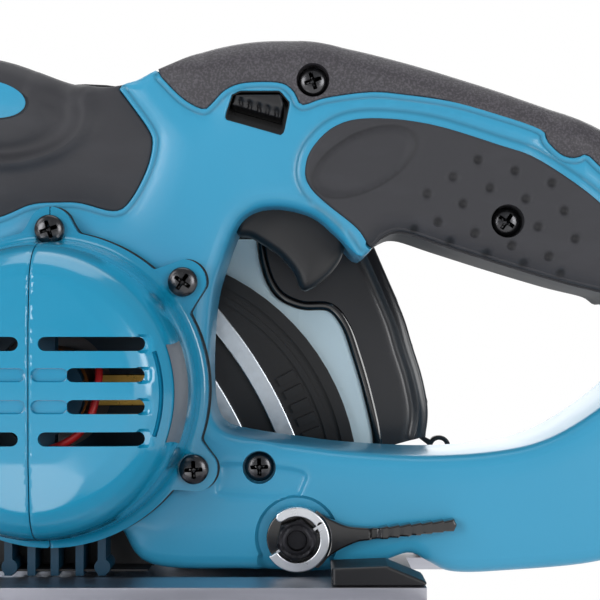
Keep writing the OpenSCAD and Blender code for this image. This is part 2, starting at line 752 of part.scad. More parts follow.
// Radius and angle of the clamp studs about the tilt axis, and how far the slots let them go
front_stud = [50, 20];
rear_stud = [28, 30];
bevel_max = 48;
case_end = case_y + case_w;
function stud_at(s) = [tilt_y - s[0] * cos(s[1]), s[0] * sin(s[1])];
front_plate_x = -131.5;
rear_plate_x = 110;
plate_t = 3;
module blade_case() {
    color([0.13, 0.13, 0.14]) difference() {
        union() {
            difference() {
                slab(case_line, case_y, case_end);
                slab(inset(case_line, case_wall), case_y + 3, case_end + 1);
                box([-200, 60, -60], [200, tilt_y, case_foot]);
                box([-200, tilt_y - 1, -60], [200, 120, 18]);
            }
            rod(pivot, boss_y1 + gap, case_y + 1, boss_r);
            rod_x(nozzle_at[0], nozzle_at[1], collar_x0, collar_x1, collar_r);
            wall_x([[18, 9], [72, 9], [72, 44], [50, 44], [18, 28]], front_plate_x, front_plate_x + plate_t);
            box([front_plate_x, case_y, 9], [case_front + 2, case_y + 3, 44]);
            wall_x([[30, 9], [69, 9], [69, 33], [56, 33], [30, 22]], rear_plate_x - plate_t, rear_plate_x);
            box([80, case_y, 9], [rear_plate_x, case_y + 3, 33]);
        }
        rod(spindle, 0, case_y + 3.5, slot_half);
        rod(raised, 0, case_y + 3.5, slot_half);
        slab(concat(arc(pivot, pivot_len + slot_half, pivot_start, pivot_start + plunge_deg, 10),
            arc(pivot, pivot_len - slot_half, pivot_start + plunge_deg, pivot_start, 10)), 0, case_y + 3.5);
        rod(pivot, 0, 90, pivot_r);
        rod_x(nozzle_at[0], nozzle_at[1], collar_x0 - 6, collar_x1 + 6, nozzle_r + run_fit);
        rod_x(stud_at(front_stud)[0], stud_at(front_stud)[1], -150, -120, stud_r + run_fit);
        rod_x(stud_at(rear_stud)[0], stud_at(rear_stud)[1], 100, 140, stud_r + run_fit);
    }
}
module outer_cover() {
    color([0.2, 0.62, 0.8]) difference() {
        union() {
            slab(case_line, case_end, case_end + 2.5);
            slab(inset(case_line, 8), case_end + 2, case_end + 5);
        }
        box([-200, 60, -60], [200, 120, 1.15 * (case_end + 5 - tilt_y)]);
        rod_x(nozzle_at[0], nozzle_at[1], collar_x0 - 6, collar_x1 + 20, collar_r + 0.1);
        rod(raised, 0, 120, flange_r + 2);
    }
}
panel_y = 46;
panel_top = 112.5;
panel_line = [
    [69.5, 38.5], [92.6, 38.5], [92, 44], [90.5, 50], [86, 66], [82, 80], [79, 90], [77.5, panel_top],
    [26, panel_top], [32, 100], [42, 88], [56, 73], [66, 55]
];
bead_pts = [
    [47.8, panel_top], [48.9, 104.7], [51.3, 97.7], [55.1, 92.9], [62, 90], [71.4, 89.3], [77, 83],
    [81, 72], [84.5, 60], [87.5, 47], [88.3, 39.5]
];
shell_line = [
    [93.4, 44], [104.5, 44], [105.2, 56.4], [100, 75.8], [94.6, 91.7], [85.5, panel_top], [77.9, panel_top],
    [79.4, 90], [82.4, 80], [86.4, 66], [90.9, 50]
];
module tray(p, y0, wall) {
    difference() {
        slab(p, y0, case_y);
        slab(inset(p, wall), y0 + wall, case_y + 1);
    }
}
module duct_panel() {
    color([0.68, 0.77, 0.85]) tray(panel_line, panel_y, 2.2);
}
module seal_bead() {
    n = len(bead_pts);
    dirs = [for (i = [0:n - 1]) unit(bead_pts[min(i + 1, n - 1)] - bead_pts[max(i - 1, 0)])];
    side = [for (i = [0:n - 1]) 1.2 * [-dirs[i][1], dirs[i][0]]];
    color([0.05, 0.05, 0.06]) slab(concat([for (i = [0:n - 1]) bead_pts[i] - side[i]],
        [for (i = [n - 1:-1:0]) bead_pts[i] + side[i]]), panel_y - 1.2, panel_y);
}
module rear_shell() {
    color([0.1, 0.1, 0.11]) {
        tray(shell_line, panel_y - 1, 1.8);
        difference() {
            union() {
                rod([110, 40], 54, 58, 4);
                slab([[101, 44.5], [103, 44.5], [109, 41.5], [107.5, 39.5]], 54, 58);
            }
            rod([110, 40], 50, 60, 2.4);
        }
    }
}
module pivot_pin() {
    color("silver") {
        rod(pivot, boss_y0 - 0.6, case_y + 3, pivot_r);
        rod(pivot, boss_y0 - 3.6, boss_y0 - gap, pivot_r + 3);
    }
}
spring_r = 10;
spring_w = 7;
module plunge_spring() {
    color([0.4, 0.4, 0.42]) ring(pivot, boss_y1 - spring_w, boss_y1 - 0.2, pivot_r + 1, spring_r);
}
scale_r = 64;
scale_w = 14;
module depth_scale() {
    p = concat(arc(pivot, scale_r + scale_w, 50, 80, 12), arc(pivot, scale_r, 80, 50, 12));
    color([0.85, 0.86, 0.87]) slab(p, case_y - 2, case_y);
}
module depth_stop() {
    color([0.1, 0.1, 0.1]) {
        slab(concat(arc(pivot, scale_r + scale_w + 2, 60, 68, 2), arc(pivot, scale_r - 2, 68, 60, 2)),
            case_y - 6, case_y - 2);
        rod(pivot + 71 * [cos(64), sin(64)], case_y - 14, case_y - 6, 5);
    }
}
module dust_nozzle() {
    color([0.1, 0.1, 0.1]) difference() {
        union() {
            rod_x(nozzle_at[0], nozzle_at[1], collar_x0 + 2, 132, nozzle_r);
            rod_x(nozzle_at[0], nozzle_at[1], collar_x1 + gap, collar_x1 + 4, nozzle_r + 2.4);
            rod_x(nozzle_at[0], nozzle_at[1], 129, 132, nozzle_r + 1);
        }
        rod_x(nozzle_at[0], nozzle_at[1], 0, 200, nozzle_r - nozzle_wall);
    }
}
module knob(at, x, dir, len, r) {
    difference() {
        union() {
            translate([x, at[0], at[1]]) rotate([0, 90 * dir, 0]) cylinder(h = len, r = r);
            translate([x, at[0], at[1]]) rotate([0, -90 * dir, 0]) cylinder(h = 9, r = stud_r);
        }
        for (i = [0:5]) translate([x + dir, at[0] + (r + 1) * cos(i * 60), at[1] + (r + 1) * sin(i * 60)])
            rotate([0, 90 * dir, 0]) cylinder(h = len + 1, r = 2.4);
    }
}
front_bracket_x = front_plate_x - gap - plate_t;
rear_bracket_x = rear_plate_x + gap;
module front_bevel_knob() {
    color([0.1, 0.1, 0.1]) knob(stud_at(front_stud), front_bracket_x - gap, -1, 9, 9.5);
}
module rear_bevel_knob() {
    color([0.1, 0.1, 0.1]) knob(stud_at(rear_stud), rear_bracket_x + plate_t + gap, 1, 8, 8);
}

// Sole and what is fixed to it

hat_y = [-50, -31];
hat_z = 8;
slot_room = 0.5;
// Round band about the tilt axis between two angles in the Y-Z plane
module band(r, half, a0, a1, x0, x1) {
    intersection() {
        difference() {
            rod_x(tilt_y, 0, x0, x1, r + half);
            rod_x(tilt_y, 0, x0 - 1, x1 + 1, r - half);
        }
        wall_x(concat([[tilt_y, 0]], arc([tilt_y, 0], 2 * r, a0, a1, 6)), x0, x1);
    }
}
module bracket(stud, x, foot) {
    r = stud[0];
    half = stud_r + slot_room;
    slot_a = [180 - stud[1] - bevel_max - 3, 180 - stud[1] + 2];
    difference() {
        union() {
            band(r, half + 5, slot_a[0] - 10, 178, x, x + plate_t);
            box([foot[0], tilt_y - r - 9, sole_t], [foot[1], tilt_y - r + 12, sole_t + 2.5]);
        }
        band(r, half, slot_a[0], slot_a[1], x - 1, x + plate_t + 1);
        for (a = slot_a) rod_x(tilt_y + r * cos(a), r * sin(a), x - 1, x + plate_t + 1, half);
        box([-200, -100, -60], [200, 100, sole_t]);
        for (y = [-4, 7]) translate([(foot[0] + foot[1]) / 2, tilt_y - r + y, 0]) cylinder(h = 20, r = 2);
    }
}
front_foot = [front_bracket_x, front_bracket_x + 12];
rear_foot = [rear_bracket_x - 9, rear_bracket_x + plate_t];
module front_bracket() {
    color([0.12, 0.12, 0.13]) bracket(front_stud, front_bracket_x, front_foot);
}
module rear_bracket() {
    color([0.12, 0.12, 0.13]) bracket(rear_stud, rear_bracket_x, rear_foot);
}
module bracket_screw_spots() {
    for (y = [-4, 7]) {
        translate([(front_foot[0] + front_foot[1]) / 2, tilt_y - front_stud[0] + y, 0]) children();
        translate([(rear_foot[0] + rear_foot[1]) / 2, tilt_y - rear_stud[0] + y, 0]) children();
    }
}
module bracket_screws() {
    color("silver") bracket_screw_spots() {
        translate([0, 0, 0.4]) cylinder(h = sole_t + 2, r = 2);
        translate([0, 0, 0.4]) cylinder(h = 1.5, r = 3.6);
    }
}
corner_r = 8;
cut_x = [-30, 30];
cut_y = 31;
tab_y = 34;
module sole_plate() {
    color([0.78, 0.79, 0.81]) difference() {
        union() {
            box([sole_front + corner_r, sole_left, 0], [sole_rear - corner_r, sole_right, sole_t]);
            box([sole_front, sole_left + corner_r, 0], [sole_rear, sole_right, sole_t]);
            box([sole_rear - 1, tab_y, 0], [rear_bracket_x + plate_t, sole_right, sole_t]);
            for (x = [sole_front + corner_r, sole_rear - corner_r])
                translate([x, sole_left + corner_r, 0]) cylinder(h = sole_t, r = corner_r);
            box([sole_front, hat_y[0], 0], [sole_rear, hat_y[1], hat_z]);
            box([sole_front + corner_r, sole_left, 0], [sole_rear - corner_r, sole_left + 3, hat_z]);
        }
        box([sole_front - 1, hat_mid - rail_w / 2, -1], [sole_rear + 1, hat_mid + rail_w / 2, rail_depth]);
        box([cut_x[0], cut_y, -1], [cut_x[1], sole_right + 1, sole_t + 1]);
        bracket_screw_spots() {
            translate([0, 0, -1]) cylinder(h = 20, r = 2);
            translate([0, 0, -1]) cylinder(h = 2.9, r = 3.7);
        }
        for (x = cam_x) translate([x, hat_mid, -1]) cylinder(h = 20, r = cam_pin_r + run_fit);
    }
}
hat_mid = (hat_y[0] + hat_y[1]) / 2;
cam_x = [-132, -46];
cam_pin_r = 2.5;
module rail_cam(x) {
    color([0.1, 0.1, 0.1]) {
        translate([x, hat_mid, rail_depth + 0.2]) cylinder(h = hat_z, r = cam_pin_r);
        difference() {
            translate([x, hat_mid, hat_z + gap]) cylinder(h = 4, r = 7.5);
            translate([x - 8, hat_mid - 0.8, hat_z + 3]) cube([16, 1.6, 4]);
        }
    }
}
module front_rail_cam() {
    rail_cam(cam_x[0]);
}
module rear_rail_cam() {
    rail_cam(cam_x[1]);
}
slide_x = [70, 97];
module anti_tip_slide() {
    p = [
        [slide_x[0], hat_z + gap], [slide_x[1], hat_z + gap], [slide_x[1], hat_z + 1.5], [86, 14],
        [slide_x[0], 13.4]
    ];
    color([0.13, 0.13, 0.14]) slab(p, hat_y[0] + 1, hat_y[1] - 1);
}

sole_plate();
front_bracket();
rear_bracket();
bracket_screws();
anti_tip_slide();
front_rail_cam();
rear_rail_cam();
blade_case();
outer_cover();
duct_panel();
seal_bead();
rear_shell();
pivot_pin();
plunge_spring();
depth_scale();
depth_stop();
dust_nozzle();
front_bevel_knob();
rear_bevel_knob();
gear_housing();
baffle_ring();
guard_rings();
motor_housing();
housing_left();
housing_right();
motor_cover_front();
motor_cover_rear();
top_cover();
grip_left();
grip_right();
front_grip();
cover_screws();
handle_screws();
switch_block();
stator();
brush_holders();
carbon_brushes();
shaft_bearings();
spindle_bearings();
cord_bush();
trigger_pin();
trigger();
lock_off_lever();
clamp_lever();
lever_jaw();
lever_nut();
speed_dial();
spindle_lock();
armature();
commutator();
fan();
pinion();
idler_gear();
idler_pin();
spindle_shaft();
spindle_gear();
inner_flange();
outer_flange();
saw_blade();
blade_bolt();
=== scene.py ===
"""Looks of the track plunge saw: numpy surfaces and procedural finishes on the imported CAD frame."""
import json
import math

import bpy
import numpy as np
from bpy.props import FloatProperty, FloatVectorProperty, PointerProperty
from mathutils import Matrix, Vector
from mathutils.geometry import delaunay_2d_cdt


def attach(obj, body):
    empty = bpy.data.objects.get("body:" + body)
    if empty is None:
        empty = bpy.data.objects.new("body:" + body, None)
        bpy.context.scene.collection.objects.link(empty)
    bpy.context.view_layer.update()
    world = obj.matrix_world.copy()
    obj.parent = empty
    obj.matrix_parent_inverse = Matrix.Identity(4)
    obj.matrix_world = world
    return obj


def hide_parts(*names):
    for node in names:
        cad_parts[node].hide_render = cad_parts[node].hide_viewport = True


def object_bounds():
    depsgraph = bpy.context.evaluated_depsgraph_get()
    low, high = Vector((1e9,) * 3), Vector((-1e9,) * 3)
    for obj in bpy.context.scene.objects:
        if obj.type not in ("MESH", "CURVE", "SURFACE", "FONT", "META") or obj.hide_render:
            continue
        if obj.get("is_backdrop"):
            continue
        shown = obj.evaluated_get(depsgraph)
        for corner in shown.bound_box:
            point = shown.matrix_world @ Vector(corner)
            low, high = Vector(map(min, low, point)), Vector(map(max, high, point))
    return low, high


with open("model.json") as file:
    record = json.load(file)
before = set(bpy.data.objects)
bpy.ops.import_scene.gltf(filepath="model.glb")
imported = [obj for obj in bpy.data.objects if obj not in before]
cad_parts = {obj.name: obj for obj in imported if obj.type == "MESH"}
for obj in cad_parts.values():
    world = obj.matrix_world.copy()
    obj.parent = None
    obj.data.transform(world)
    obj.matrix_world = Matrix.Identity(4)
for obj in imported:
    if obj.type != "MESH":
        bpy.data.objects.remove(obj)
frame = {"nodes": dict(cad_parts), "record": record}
CAD_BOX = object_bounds()

bl_info = {
    "name": "Plunge saw looks",
    "version": (1, 0, 0),
    "blender": (4, 5, 0),
    "location": "3D View > Sidebar > Saw",
    "description": "Dresses the plunge saw frame with modelled surfaces and procedural finishes",
    "category": "Object",
}

MM = 0.001

# Outlines in millimetres as (X, Z), seen from the motor side.
HANDLE = [
    [16, 10], [46, 8.6], [67, 7.8], [85, 10.8], [94, 13.5], [100, 10.8], [107, 7.8], [122, 8], [152, 11],
    [172, 19], [183, 36], [186, 62], [183, 88], [175, 113], [166, 130], [154, 142],
    [129, 151.7], [110, 158], [92, 163.2], [75, 167.2], [61, 169.4], [45, 169], [30, 165.6], [18, 160],
    [5, 155], [-10, 157], [-29, 163.4], [-48, 165.5], [-66, 160], [-75, 147], [-72, 132], [-60, 121],
    [-44, 116], [-56, 100], [-66, 82], [-68, 60], [-62, 38], [-50, 30], [-30, 44], [-8, 40], [6, 22],
]
OPENING = [
    [46, 48.4], [61, 46.2], [76, 44.4], [100, 43.2], [121.6, 44.7], [137, 48.7], [152, 57.8], [163, 68],
    [166, 79], [161, 88], [154, 92.6], [141.5, 95.7], [123, 101.2], [104.4, 107.1], [92, 111], [86, 109.6],
    [79.5, 103.2], [72, 110], [64, 116.2], [52, 118.4], [43, 114.5], [37.4, 101.7], [34, 88], [33.2, 64],
    [36, 52],
]
COVER_LOW = [
    [19, 157.5], [25.4, 151.1], [31.4, 147.8], [34, 149], [38.4, 153.5], [44.4, 155.7], [55, 155.7],
    [59.2, 152.9], [61.6, 149], [68.5, 151.1], [82, 152.9], [92, 152.2], [106, 150.2], [118.4, 146.9],
    [133.4, 141.8], [135.6, 138.1], [140, 133.9], [144.3, 133], [147.5, 134], [152, 130], [162, 121],
    [172, 104],
]
FRONT_LOW = [
    [6.5, 153.8], [9.9, 149.3], [15.6, 141.2], [16.5, 136.7], [14.7, 129.2], [9.9, 120.2], [5, 116.9],
    [-5, 119.3], [-11, 119.6], [-20, 119], [-28, 115.7], [-40, 112],
]
WINDOW = [
    [40.5, 152], [42.9, 153.2], [55, 153.2], [58, 149.6], [56.2, 140.6], [55.3, 139.7], [38.4, 144.5],
    [38.7, 146.6],
]


def cubic(a, b, d, e, steps):
    """Catmull-Rom spans from b to d, with the slopes that the neighbours a and e give."""
    a, b, d, e = a[:, None], b[:, None], d[:, None], e[:, None]
    t = (np.arange(steps) / steps)[None, :, None]
    q = 0.5 * (2 * b + (d - a) * t + (2 * a - 5 * b + 4 * d - e) * t**2 + (3 * b - a - 3 * d + e) * t**3)
    return q.reshape(-1, 2)


def closed_curve(points, steps):
    """Closed smooth curve through points."""
    p = np.asarray(points, float)
    return cubic(np.roll(p, 1, 0), p, np.roll(p, -1, 0), np.roll(p, -2, 0), steps)


def open_curve(points, steps):
    """Smooth curve along an open row of points, with one more point mirrored past each end."""
    p = np.asarray(points, float)
    p = np.vstack([2 * p[:1] - p[1:2], p, 2 * p[-1:] - p[-2:-1]])
    return np.vstack([cubic(p[:-3], p[1:-2], p[2:-1], p[3:], steps), p[-2:-1]])


def spaced(ring, step):
    """A closed ring resampled at even arc length, about step apart."""
    p = np.vstack([ring, ring[:1]])
    s = np.concatenate([[0], np.cumsum(np.hypot(*np.diff(p, axis=0).T))])
    u = np.linspace(0, s[-1], max(8, int(round(s[-1] / step))), endpoint=False)
    return np.column_stack([np.interp(u, s, p[:, 0]), np.interp(u, s, p[:, 1])])


def polar(angle, radius=1.0):
    """Points at angles about the origin."""
    return np.column_stack([radius * np.cos(angle), radius * np.sin(angle)])


def turned(points, angle):
    """Points turned anticlockwise about the origin."""
    c, s = math.cos(angle), math.sin(angle)
    return points @ np.array([[c, s], [-s, c]])


def circle(centre, radius, count=40):
    """Points of a circle, anticlockwise."""
    return np.asarray(centre) + polar(np.linspace(0, 2 * np.pi, count, endpoint=False), radius)


def area(ring):
    """Signed area of a ring by the shoelace sum."""
    x, z = ring.T
    return 0.5 * np.sum(x * np.roll(z, -1) - z * np.roll(x, -1))


def anticlockwise(ring):
    """The ring, turned round if it runs clockwise."""
    return ring if area(ring) > 0 else ring[::-1]


def from_point(points, centre):
    """Distance of each point from one place."""
    return np.hypot(*(points - np.asarray(centre)).T)


def nearest(points, places):
    """Distance of each point from the nearest of several places."""
    return np.sqrt(((points[:, None] - places) ** 2).sum(2)).min(1)


def bell(value, middle, width):
    """1 at the middle, falling off as a bell curve over the width."""
    return np.exp(-(((value - middle) / width) ** 2))


def level(value):
    """A height that is the same everywhere."""
    return lambda p: np.full(len(p), float(value))


def inside(points, ring):
    """Even-odd test: which points have an odd number of ring edges to their right."""
    x, z = points[:, 0:1], points[:, 1:2]
    x0, z0 = ring.T
    x1, z1 = np.roll(ring, -1, 0).T
    cross = ((z0 > z) != (z1 > z)) & (x < x0 + (z - z0) * (x1 - x0) / np.where(z1 == z0, 1e-9, z1 - z0))
    return cross.sum(1) % 2 == 1


def distance(points, ring, closed=True):
    """Distance from each point to the nearest edge of a ring or an open row of points."""
    b = np.roll(ring, -1, 0) if closed else ring[1:]
    a = ring if closed else ring[:-1]
    out = np.empty(len(points))
    for k in range(0, len(points), 4000):
        q = points[k:k + 4000, None]
        t = np.clip(((q - a) * (b - a)).sum(2) / np.maximum(((b - a) ** 2).sum(1), 1e-12), 0, 1)
        out[k:k + 4000] = np.sqrt((((a + t[..., None] * (b - a)) - q) ** 2).sum(2).min(1))
    return out


def smooth(low, high, value):
    """Cubic step from 0 at low to 1 at high."""
    t = np.clip((value - low) / (high - low), 0, 1)
    return t * t * (3 - 2 * t)


def normals_in(ring):
    """Unit inward normals of an anticlockwise ring, from neighbours on both sides, smoothed a little."""
    t = np.roll(ring, -1, 0) - np.roll(ring, 1, 0)
    n = np.column_stack([-t[:, 1], t[:, 0]])
    n /= np.maximum(np.hypot(*n.T), 1e-9)[:, None]
    n = n + np.roll(n, 1, 0) + np.roll(n, -1, 0)
    return n / np.maximum(np.hypot(*n.T), 1e-9)[:, None]


def within(points, rings):
    """Points inside the first ring and outside the others."""
    points = points[inside(points, rings[0])]
    for hole in rings[1:]:
        points = points[~inside(points, hole)]
    return points


def apart(points, others, gap):
    """Points that lie further than gap from every other point."""
    blocks = [points[k:k + 2000] for k in range(0, len(points), 2000)]
    return points[np.concatenate([nearest(b, others) for b in blocks]) > gap]


def fill(rings, creases, step, grid=None, extra=None):
    """Triangles between an outer ring and its holes, over the given inner points or a six-sided grid of them.
    The grid makes room for rows of extra points."""
    lines = list(rings) + list(creases)
    outer = rings[0]
    lo, hi = outer.min(0), outer.max(0)
    gx = np.arange(lo[0], hi[0], step)
    gz = np.arange(lo[1], hi[1], step * 0.866)
    px, pz = np.meshgrid(gx, gz)
    px = px + 0.5 * step * (np.arange(len(gz)) % 2)[:, None]
    grid = np.column_stack([px.ravel(), pz.ravel()]) if grid is None else grid
    grid = within(grid, rings)
    if extra is not None:
        extra = within(extra, rings)
        grid = np.vstack([apart(grid, extra, 0.6 * step), extra])
    for line in lines:
        grid = grid[distance(grid, line) > 0.3 * min(step, 1.2)]
    points = np.vstack(lines + [grid])
    edges, base = [], 0
    for line in lines:
        i = np.arange(len(line))
        edges += np.column_stack([base + i, base + np.roll(i, -1)]).tolist()
        base += len(line)
    verts, _, faces, *_ = delaunay_2d_cdt([Vector(q) for q in points.tolist()], edges, [], 0, 1e-5)
    verts = np.array([v[:] for v in verts])
    faces = np.array(faces)
    middle = verts[faces].mean(1)
    keep = inside(middle, outer)
    for hole in rings[1:]:
        keep &= ~inside(middle, hole)
    faces = faces[keep]
    a, b, c = verts[faces[:, 0]], verts[faces[:, 1]], verts[faces[:, 2]]
    turn = (b[:, 0] - a[:, 0]) * (c[:, 1] - a[:, 1]) - (b[:, 1] - a[:, 1]) * (c[:, 0] - a[:, 0])
    faces[turn < 0] = faces[turn < 0][:, ::-1]
    return verts, faces


def row_quads(rows, count, closed=True):
    """Quads between neighbouring rows of a grid; a closed grid joins the last column to the first."""
    i, j = np.meshgrid(np.arange(rows - 1), np.arange(count if closed else count - 1), indexing="ij")
    k = (j + 1) % count
    corners = [i * count + j, i * count + k, (i + 1) * count + k, (i + 1) * count + j]
    return np.stack(corners, -1).reshape(-1, 4)


def relief_mesh(outer, holes, face, back, edge, hole_edge=0.0, creases=(), step=2.0, turns=5, extra=None):
    """Half piece over an outline. The face is a height over (X, Z). At the outline it turns over a quarter
    round, inset edge * (1 - sin) and dropped edge * (1 - cos), and walls run from there down to the back.
    Returns vertices as (X, height, Z) with faces seen anticlockwise from the face side. Known fault: some
    edges stay open, so the result isn't watertight."""
    rings = [anticlockwise(r) for r in [outer] + list(holes)]
    edges = [edge] + (hole_edge if isinstance(hole_edge, list) else [hole_edge] * len(holes))
    radii = [np.broadcast_to(e, len(r)).astype(float) for e, r in zip(edges, rings)]
    signs = [1] + [-1] * len(holes)
    lips = [r + (s * e)[:, None] * normals_in(r) for r, e, s in zip(rings, radii, signs)]
    flat, tris = fill(lips, creases, step, extra=extra)
    verts = [np.column_stack([flat[:, 0], face(flat), flat[:, 1]])]
    faces = [tris]
    base = len(flat)
    phi = np.linspace(0, np.pi / 2, turns)[:, None, None]
    for ring, lip, rad, sign in zip(rings, lips, radii, signs):
        n = len(ring)
        plan = ring + (sign * rad)[:, None] * normals_in(ring) * (1 - np.sin(phi))
        high = face(lip) - rad * (1 - np.cos(phi[..., 0]))
        plan = np.concatenate([plan, plan[-1:]])
        high = np.concatenate([high, np.full((1, n), float(back))])
        verts.append(np.dstack([plan[..., 0], high, plan[..., 1]]).reshape(-1, 3))
        faces.append(row_quads(turns + 1, n)[:, [0, 3, 2, 1] if sign > 0 else [1, 2, 3, 0]] + base)
        base += len(verts[-1])
    low, low_tris = fill(rings, (), 25.0)
    verts.append(np.column_stack([low[:, 0], np.full(len(low), float(back)), low[:, 1]]))
    faces.append(low_tris[:, ::-1] + base)
    return np.vstack(verts), faces


def shell_mesh(outer, holes, face, back, creases=(), step=1.0, grid=None):
    """Closed shell over an outline: the same triangles lie on the face height and, turned round, on the back
    height, and each open edge of the triangles becomes a wall between the two."""
    flat, tris = fill([outer] + list(holes), creases, step, grid)
    n = len(flat)
    verts = np.vstack([np.column_stack([flat[:, 0], f(flat), flat[:, 1]]) for f in (face, back)])
    edges = np.vstack([tris[:, [0, 1]], tris[:, [1, 2]], tris[:, [2, 0]]])
    rim = edges[~np.isin(edges[:, 1] * n + edges[:, 0], edges[:, 0] * n + edges[:, 1])]
    walls = np.column_stack([rim[:, 1], rim[:, 0], rim[:, 0] + n, rim[:, 1] + n])
    return verts, [tris, tris[:, ::-1] + n, walls]


def welded(verts, faces, grain=1e-3):
    """Merges vertices closer than grain. A quad that loses one corner becomes a triangle, and a face that
    loses more is dropped."""
    cells = np.round(verts / grain).astype(np.int64)
    _, first, back = np.unique(cells, axis=0, return_index=True, return_inverse=True)
    out = []
    for block in faces:
        rows = back.ravel()[block]
        fresh = rows != np.roll(rows, 1, 1)
        whole = fresh.all(1)
        if rows.shape[1] == 4:
            three = fresh.sum(1) == 3
            out.append(rows[three][fresh[three]].reshape(-1, 3))
            whole &= (rows[:, 0] != rows[:, 2]) & (rows[:, 1] != rows[:, 3])
        out.append(rows[whole])
    return verts[first], out


def joined(*parts):
    """Several meshes as one: vertices stacked, and each part's faces numbered on."""
    starts = np.cumsum([0] + [len(verts) for verts, _ in parts])
    faces = [block + start for (_, blocks), start in zip(parts, starts) for block in blocks]
    return np.vstack([verts for verts, _ in parts]), faces


def put_mesh(name, verts, faces, material, body, slot, replaces=(), smooth_deg=38, attributes=None):
    """Makes the object from millimetre vertices in the saw's frame, on a body, and standing for CAD nodes."""
    mesh = bpy.data.meshes.new(name)
    rows = [row for block in faces for row in block.tolist()]
    mesh.from_pydata((np.asarray(verts) * MM).tolist(), [], rows)
    mesh.validate()
    mesh.update()
    mesh.shade_smooth()
    mesh.set_sharp_from_angle(angle=math.radians(smooth_deg))
    for key, values in (attributes or {}).items():
        layer = mesh.attributes.new(key, "FLOAT", "POINT")
        layer.data.foreach_set("value", np.asarray(values, np.float32))
    obj = bpy.data.objects.new(name, mesh)
    bpy.context.scene.collection.objects.link(obj)
    mesh.materials.append(material)
    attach(obj, body)
    if replaces:
        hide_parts(*replaces)
    return obj


def left_side(verts):
    """Heights counted towards the viewer become negative Y, and the outline's turn then points outwards."""
    return verts * np.array([1, -1, 1])


def on_side(left, verts, faces):
    """A half piece on the viewer's side, or mirrored to the blade side with every face turned round."""
    return (left_side(verts), faces) if left else (verts, [f[:, ::-1] for f in faces])


def halves(near, far):
    """Two half pieces that stand on the middle plane, joined there without their backs."""
    sides = [on_side(left, half[0], half[1][:-1]) for left, half in ((True, near), (False, far))]
    return welded(*joined(*sides))


class Socket:
    """A node's output; arithmetic on it adds Math nodes to its finish."""

    def __init__(self, finish, out):
        self.finish, self.out = finish, out

    def math(self, operation, first, second=0.0):
        return self.finish.node("ShaderNodeMath", {"operation": operation}, {0: first, 1: second})

    def __add__(self, other):
        return self.math("ADD", self, other)

    def __mul__(self, other):
        return self.math("MULTIPLY", self, other)

    __radd__, __rmul__ = __add__, __mul__


class Finish:
    """A procedural material around one Principled shader."""

    def __init__(self, name):
        self.material = bpy.data.materials.new(name)
        self.material.use_nodes = True
        self.tree = self.material.node_tree
        self.shader = next(n for n in self.tree.nodes if n.type == "BSDF_PRINCIPLED")
        self.place = self.node("ShaderNodeTexCoord", out="Object")

    def node(self, kind, settings=None, inputs=None, out=0):
        """Adds a node, with its settings first and then values or links on its sockets."""
        node = self.tree.nodes.new(kind)
        for key, value in (settings or {}).items():
            if key == "stops":
                ramp = node.color_ramp
                for k, (pos, shade) in enumerate(value):
                    stop = ramp.elements[k] if k < 2 else ramp.elements.new(pos)
                    stop.position, stop.color = pos, (shade, shade, shade, 1)
            else:
                setattr(node, key, value)
        for key, value in (inputs or {}).items():
            self.feed(node.inputs[key], value)
        return Socket(self, node.outputs[out])

    def feed(self, socket, value):
        if isinstance(value, Socket):
            self.tree.links.new(value.out, socket)
        else:
            socket.default_value = value

    def set(self, **values):
        for key, value in values.items():
            self.feed(self.shader.inputs[key.replace("_", " ")], value)
        return self

    def noise(self, scale, detail=3.0, stretch=(1, 1, 1)):
        """Noise over object coordinates; stretch scales the three axes."""
        where = self.node("ShaderNodeMapping", {}, {0: self.place, 3: stretch})
        return self.node("ShaderNodeTexNoise", {}, {"Vector": where, "Scale": scale, "Detail": detail})

    def cells(self, scale):
        """Distance to the nearest point of a cell pattern."""
        return self.node("ShaderNodeTexVoronoi", {}, {"Vector": self.place, "Scale": scale})

    def ramp(self, value, stops):
        """Value mapped through grey stops."""
        return self.node("ShaderNodeValToRGB", {"stops": stops}, {0: value})

    def mix(self, share, first, second):
        """Colour between two colours."""
        return self.node("ShaderNodeMix", {"data_type": "RGBA"}, {0: share, 6: first, 7: second}, out=2)

    def attribute(self, name):
        return self.node("ShaderNodeAttribute", {"attribute_name": name}, {}, out="Fac")

    def bump(self, height, strength, depth):
        """Feeds the shader's normal from a height in units of depth metres."""
        inputs = {"Strength": strength, "Distance": depth, "Height": height}
        return self.set(Normal=self.node("ShaderNodeBump", {}, inputs, out="Normal"))


def linear(colour):
    """sRGB channels to a linear colour with alpha."""
    c = np.asarray(colour[:3], float)
    return (*np.where(c <= 0.04045, c / 12.92, ((c + 0.055) / 1.055) ** 2.4).tolist(), 1.0)


def toned(colour, factor):
    """A linear colour made darker or lighter by a factor."""
    return (*[min(1.0, c * factor) for c in colour[:3]], 1.0)


def moulded(name, colour, rough, grain=900.0, depth=0.00004, coat=0.0, groove=None):
    """Moulded plastic: slow tone drift, fine spark texture in the bump and slightly uneven gloss."""
    f = Finish(name)
    drift = f.noise(14.0, 2.0)
    fine = f.noise(grain, 2.0)
    tone = f.mix(drift, toned(colour, 0.93), toned(colour, 1.06))
    # Painted shade: the groove attribute darkens the colour where shade falls in grooves.
    if groove:
        tone = f.mix(f.attribute(groove), tone, toned(colour, 0.62))
    f.set(Base_Color=tone, Roughness=f.noise(60.0, 3.0) * 0.12 + (rough - 0.06))
    f.shader.inputs["Coat Weight"].default_value = coat
    f.shader.inputs["Coat Roughness"].default_value = 0.12
    return f.bump(fine, 0.35, depth).material


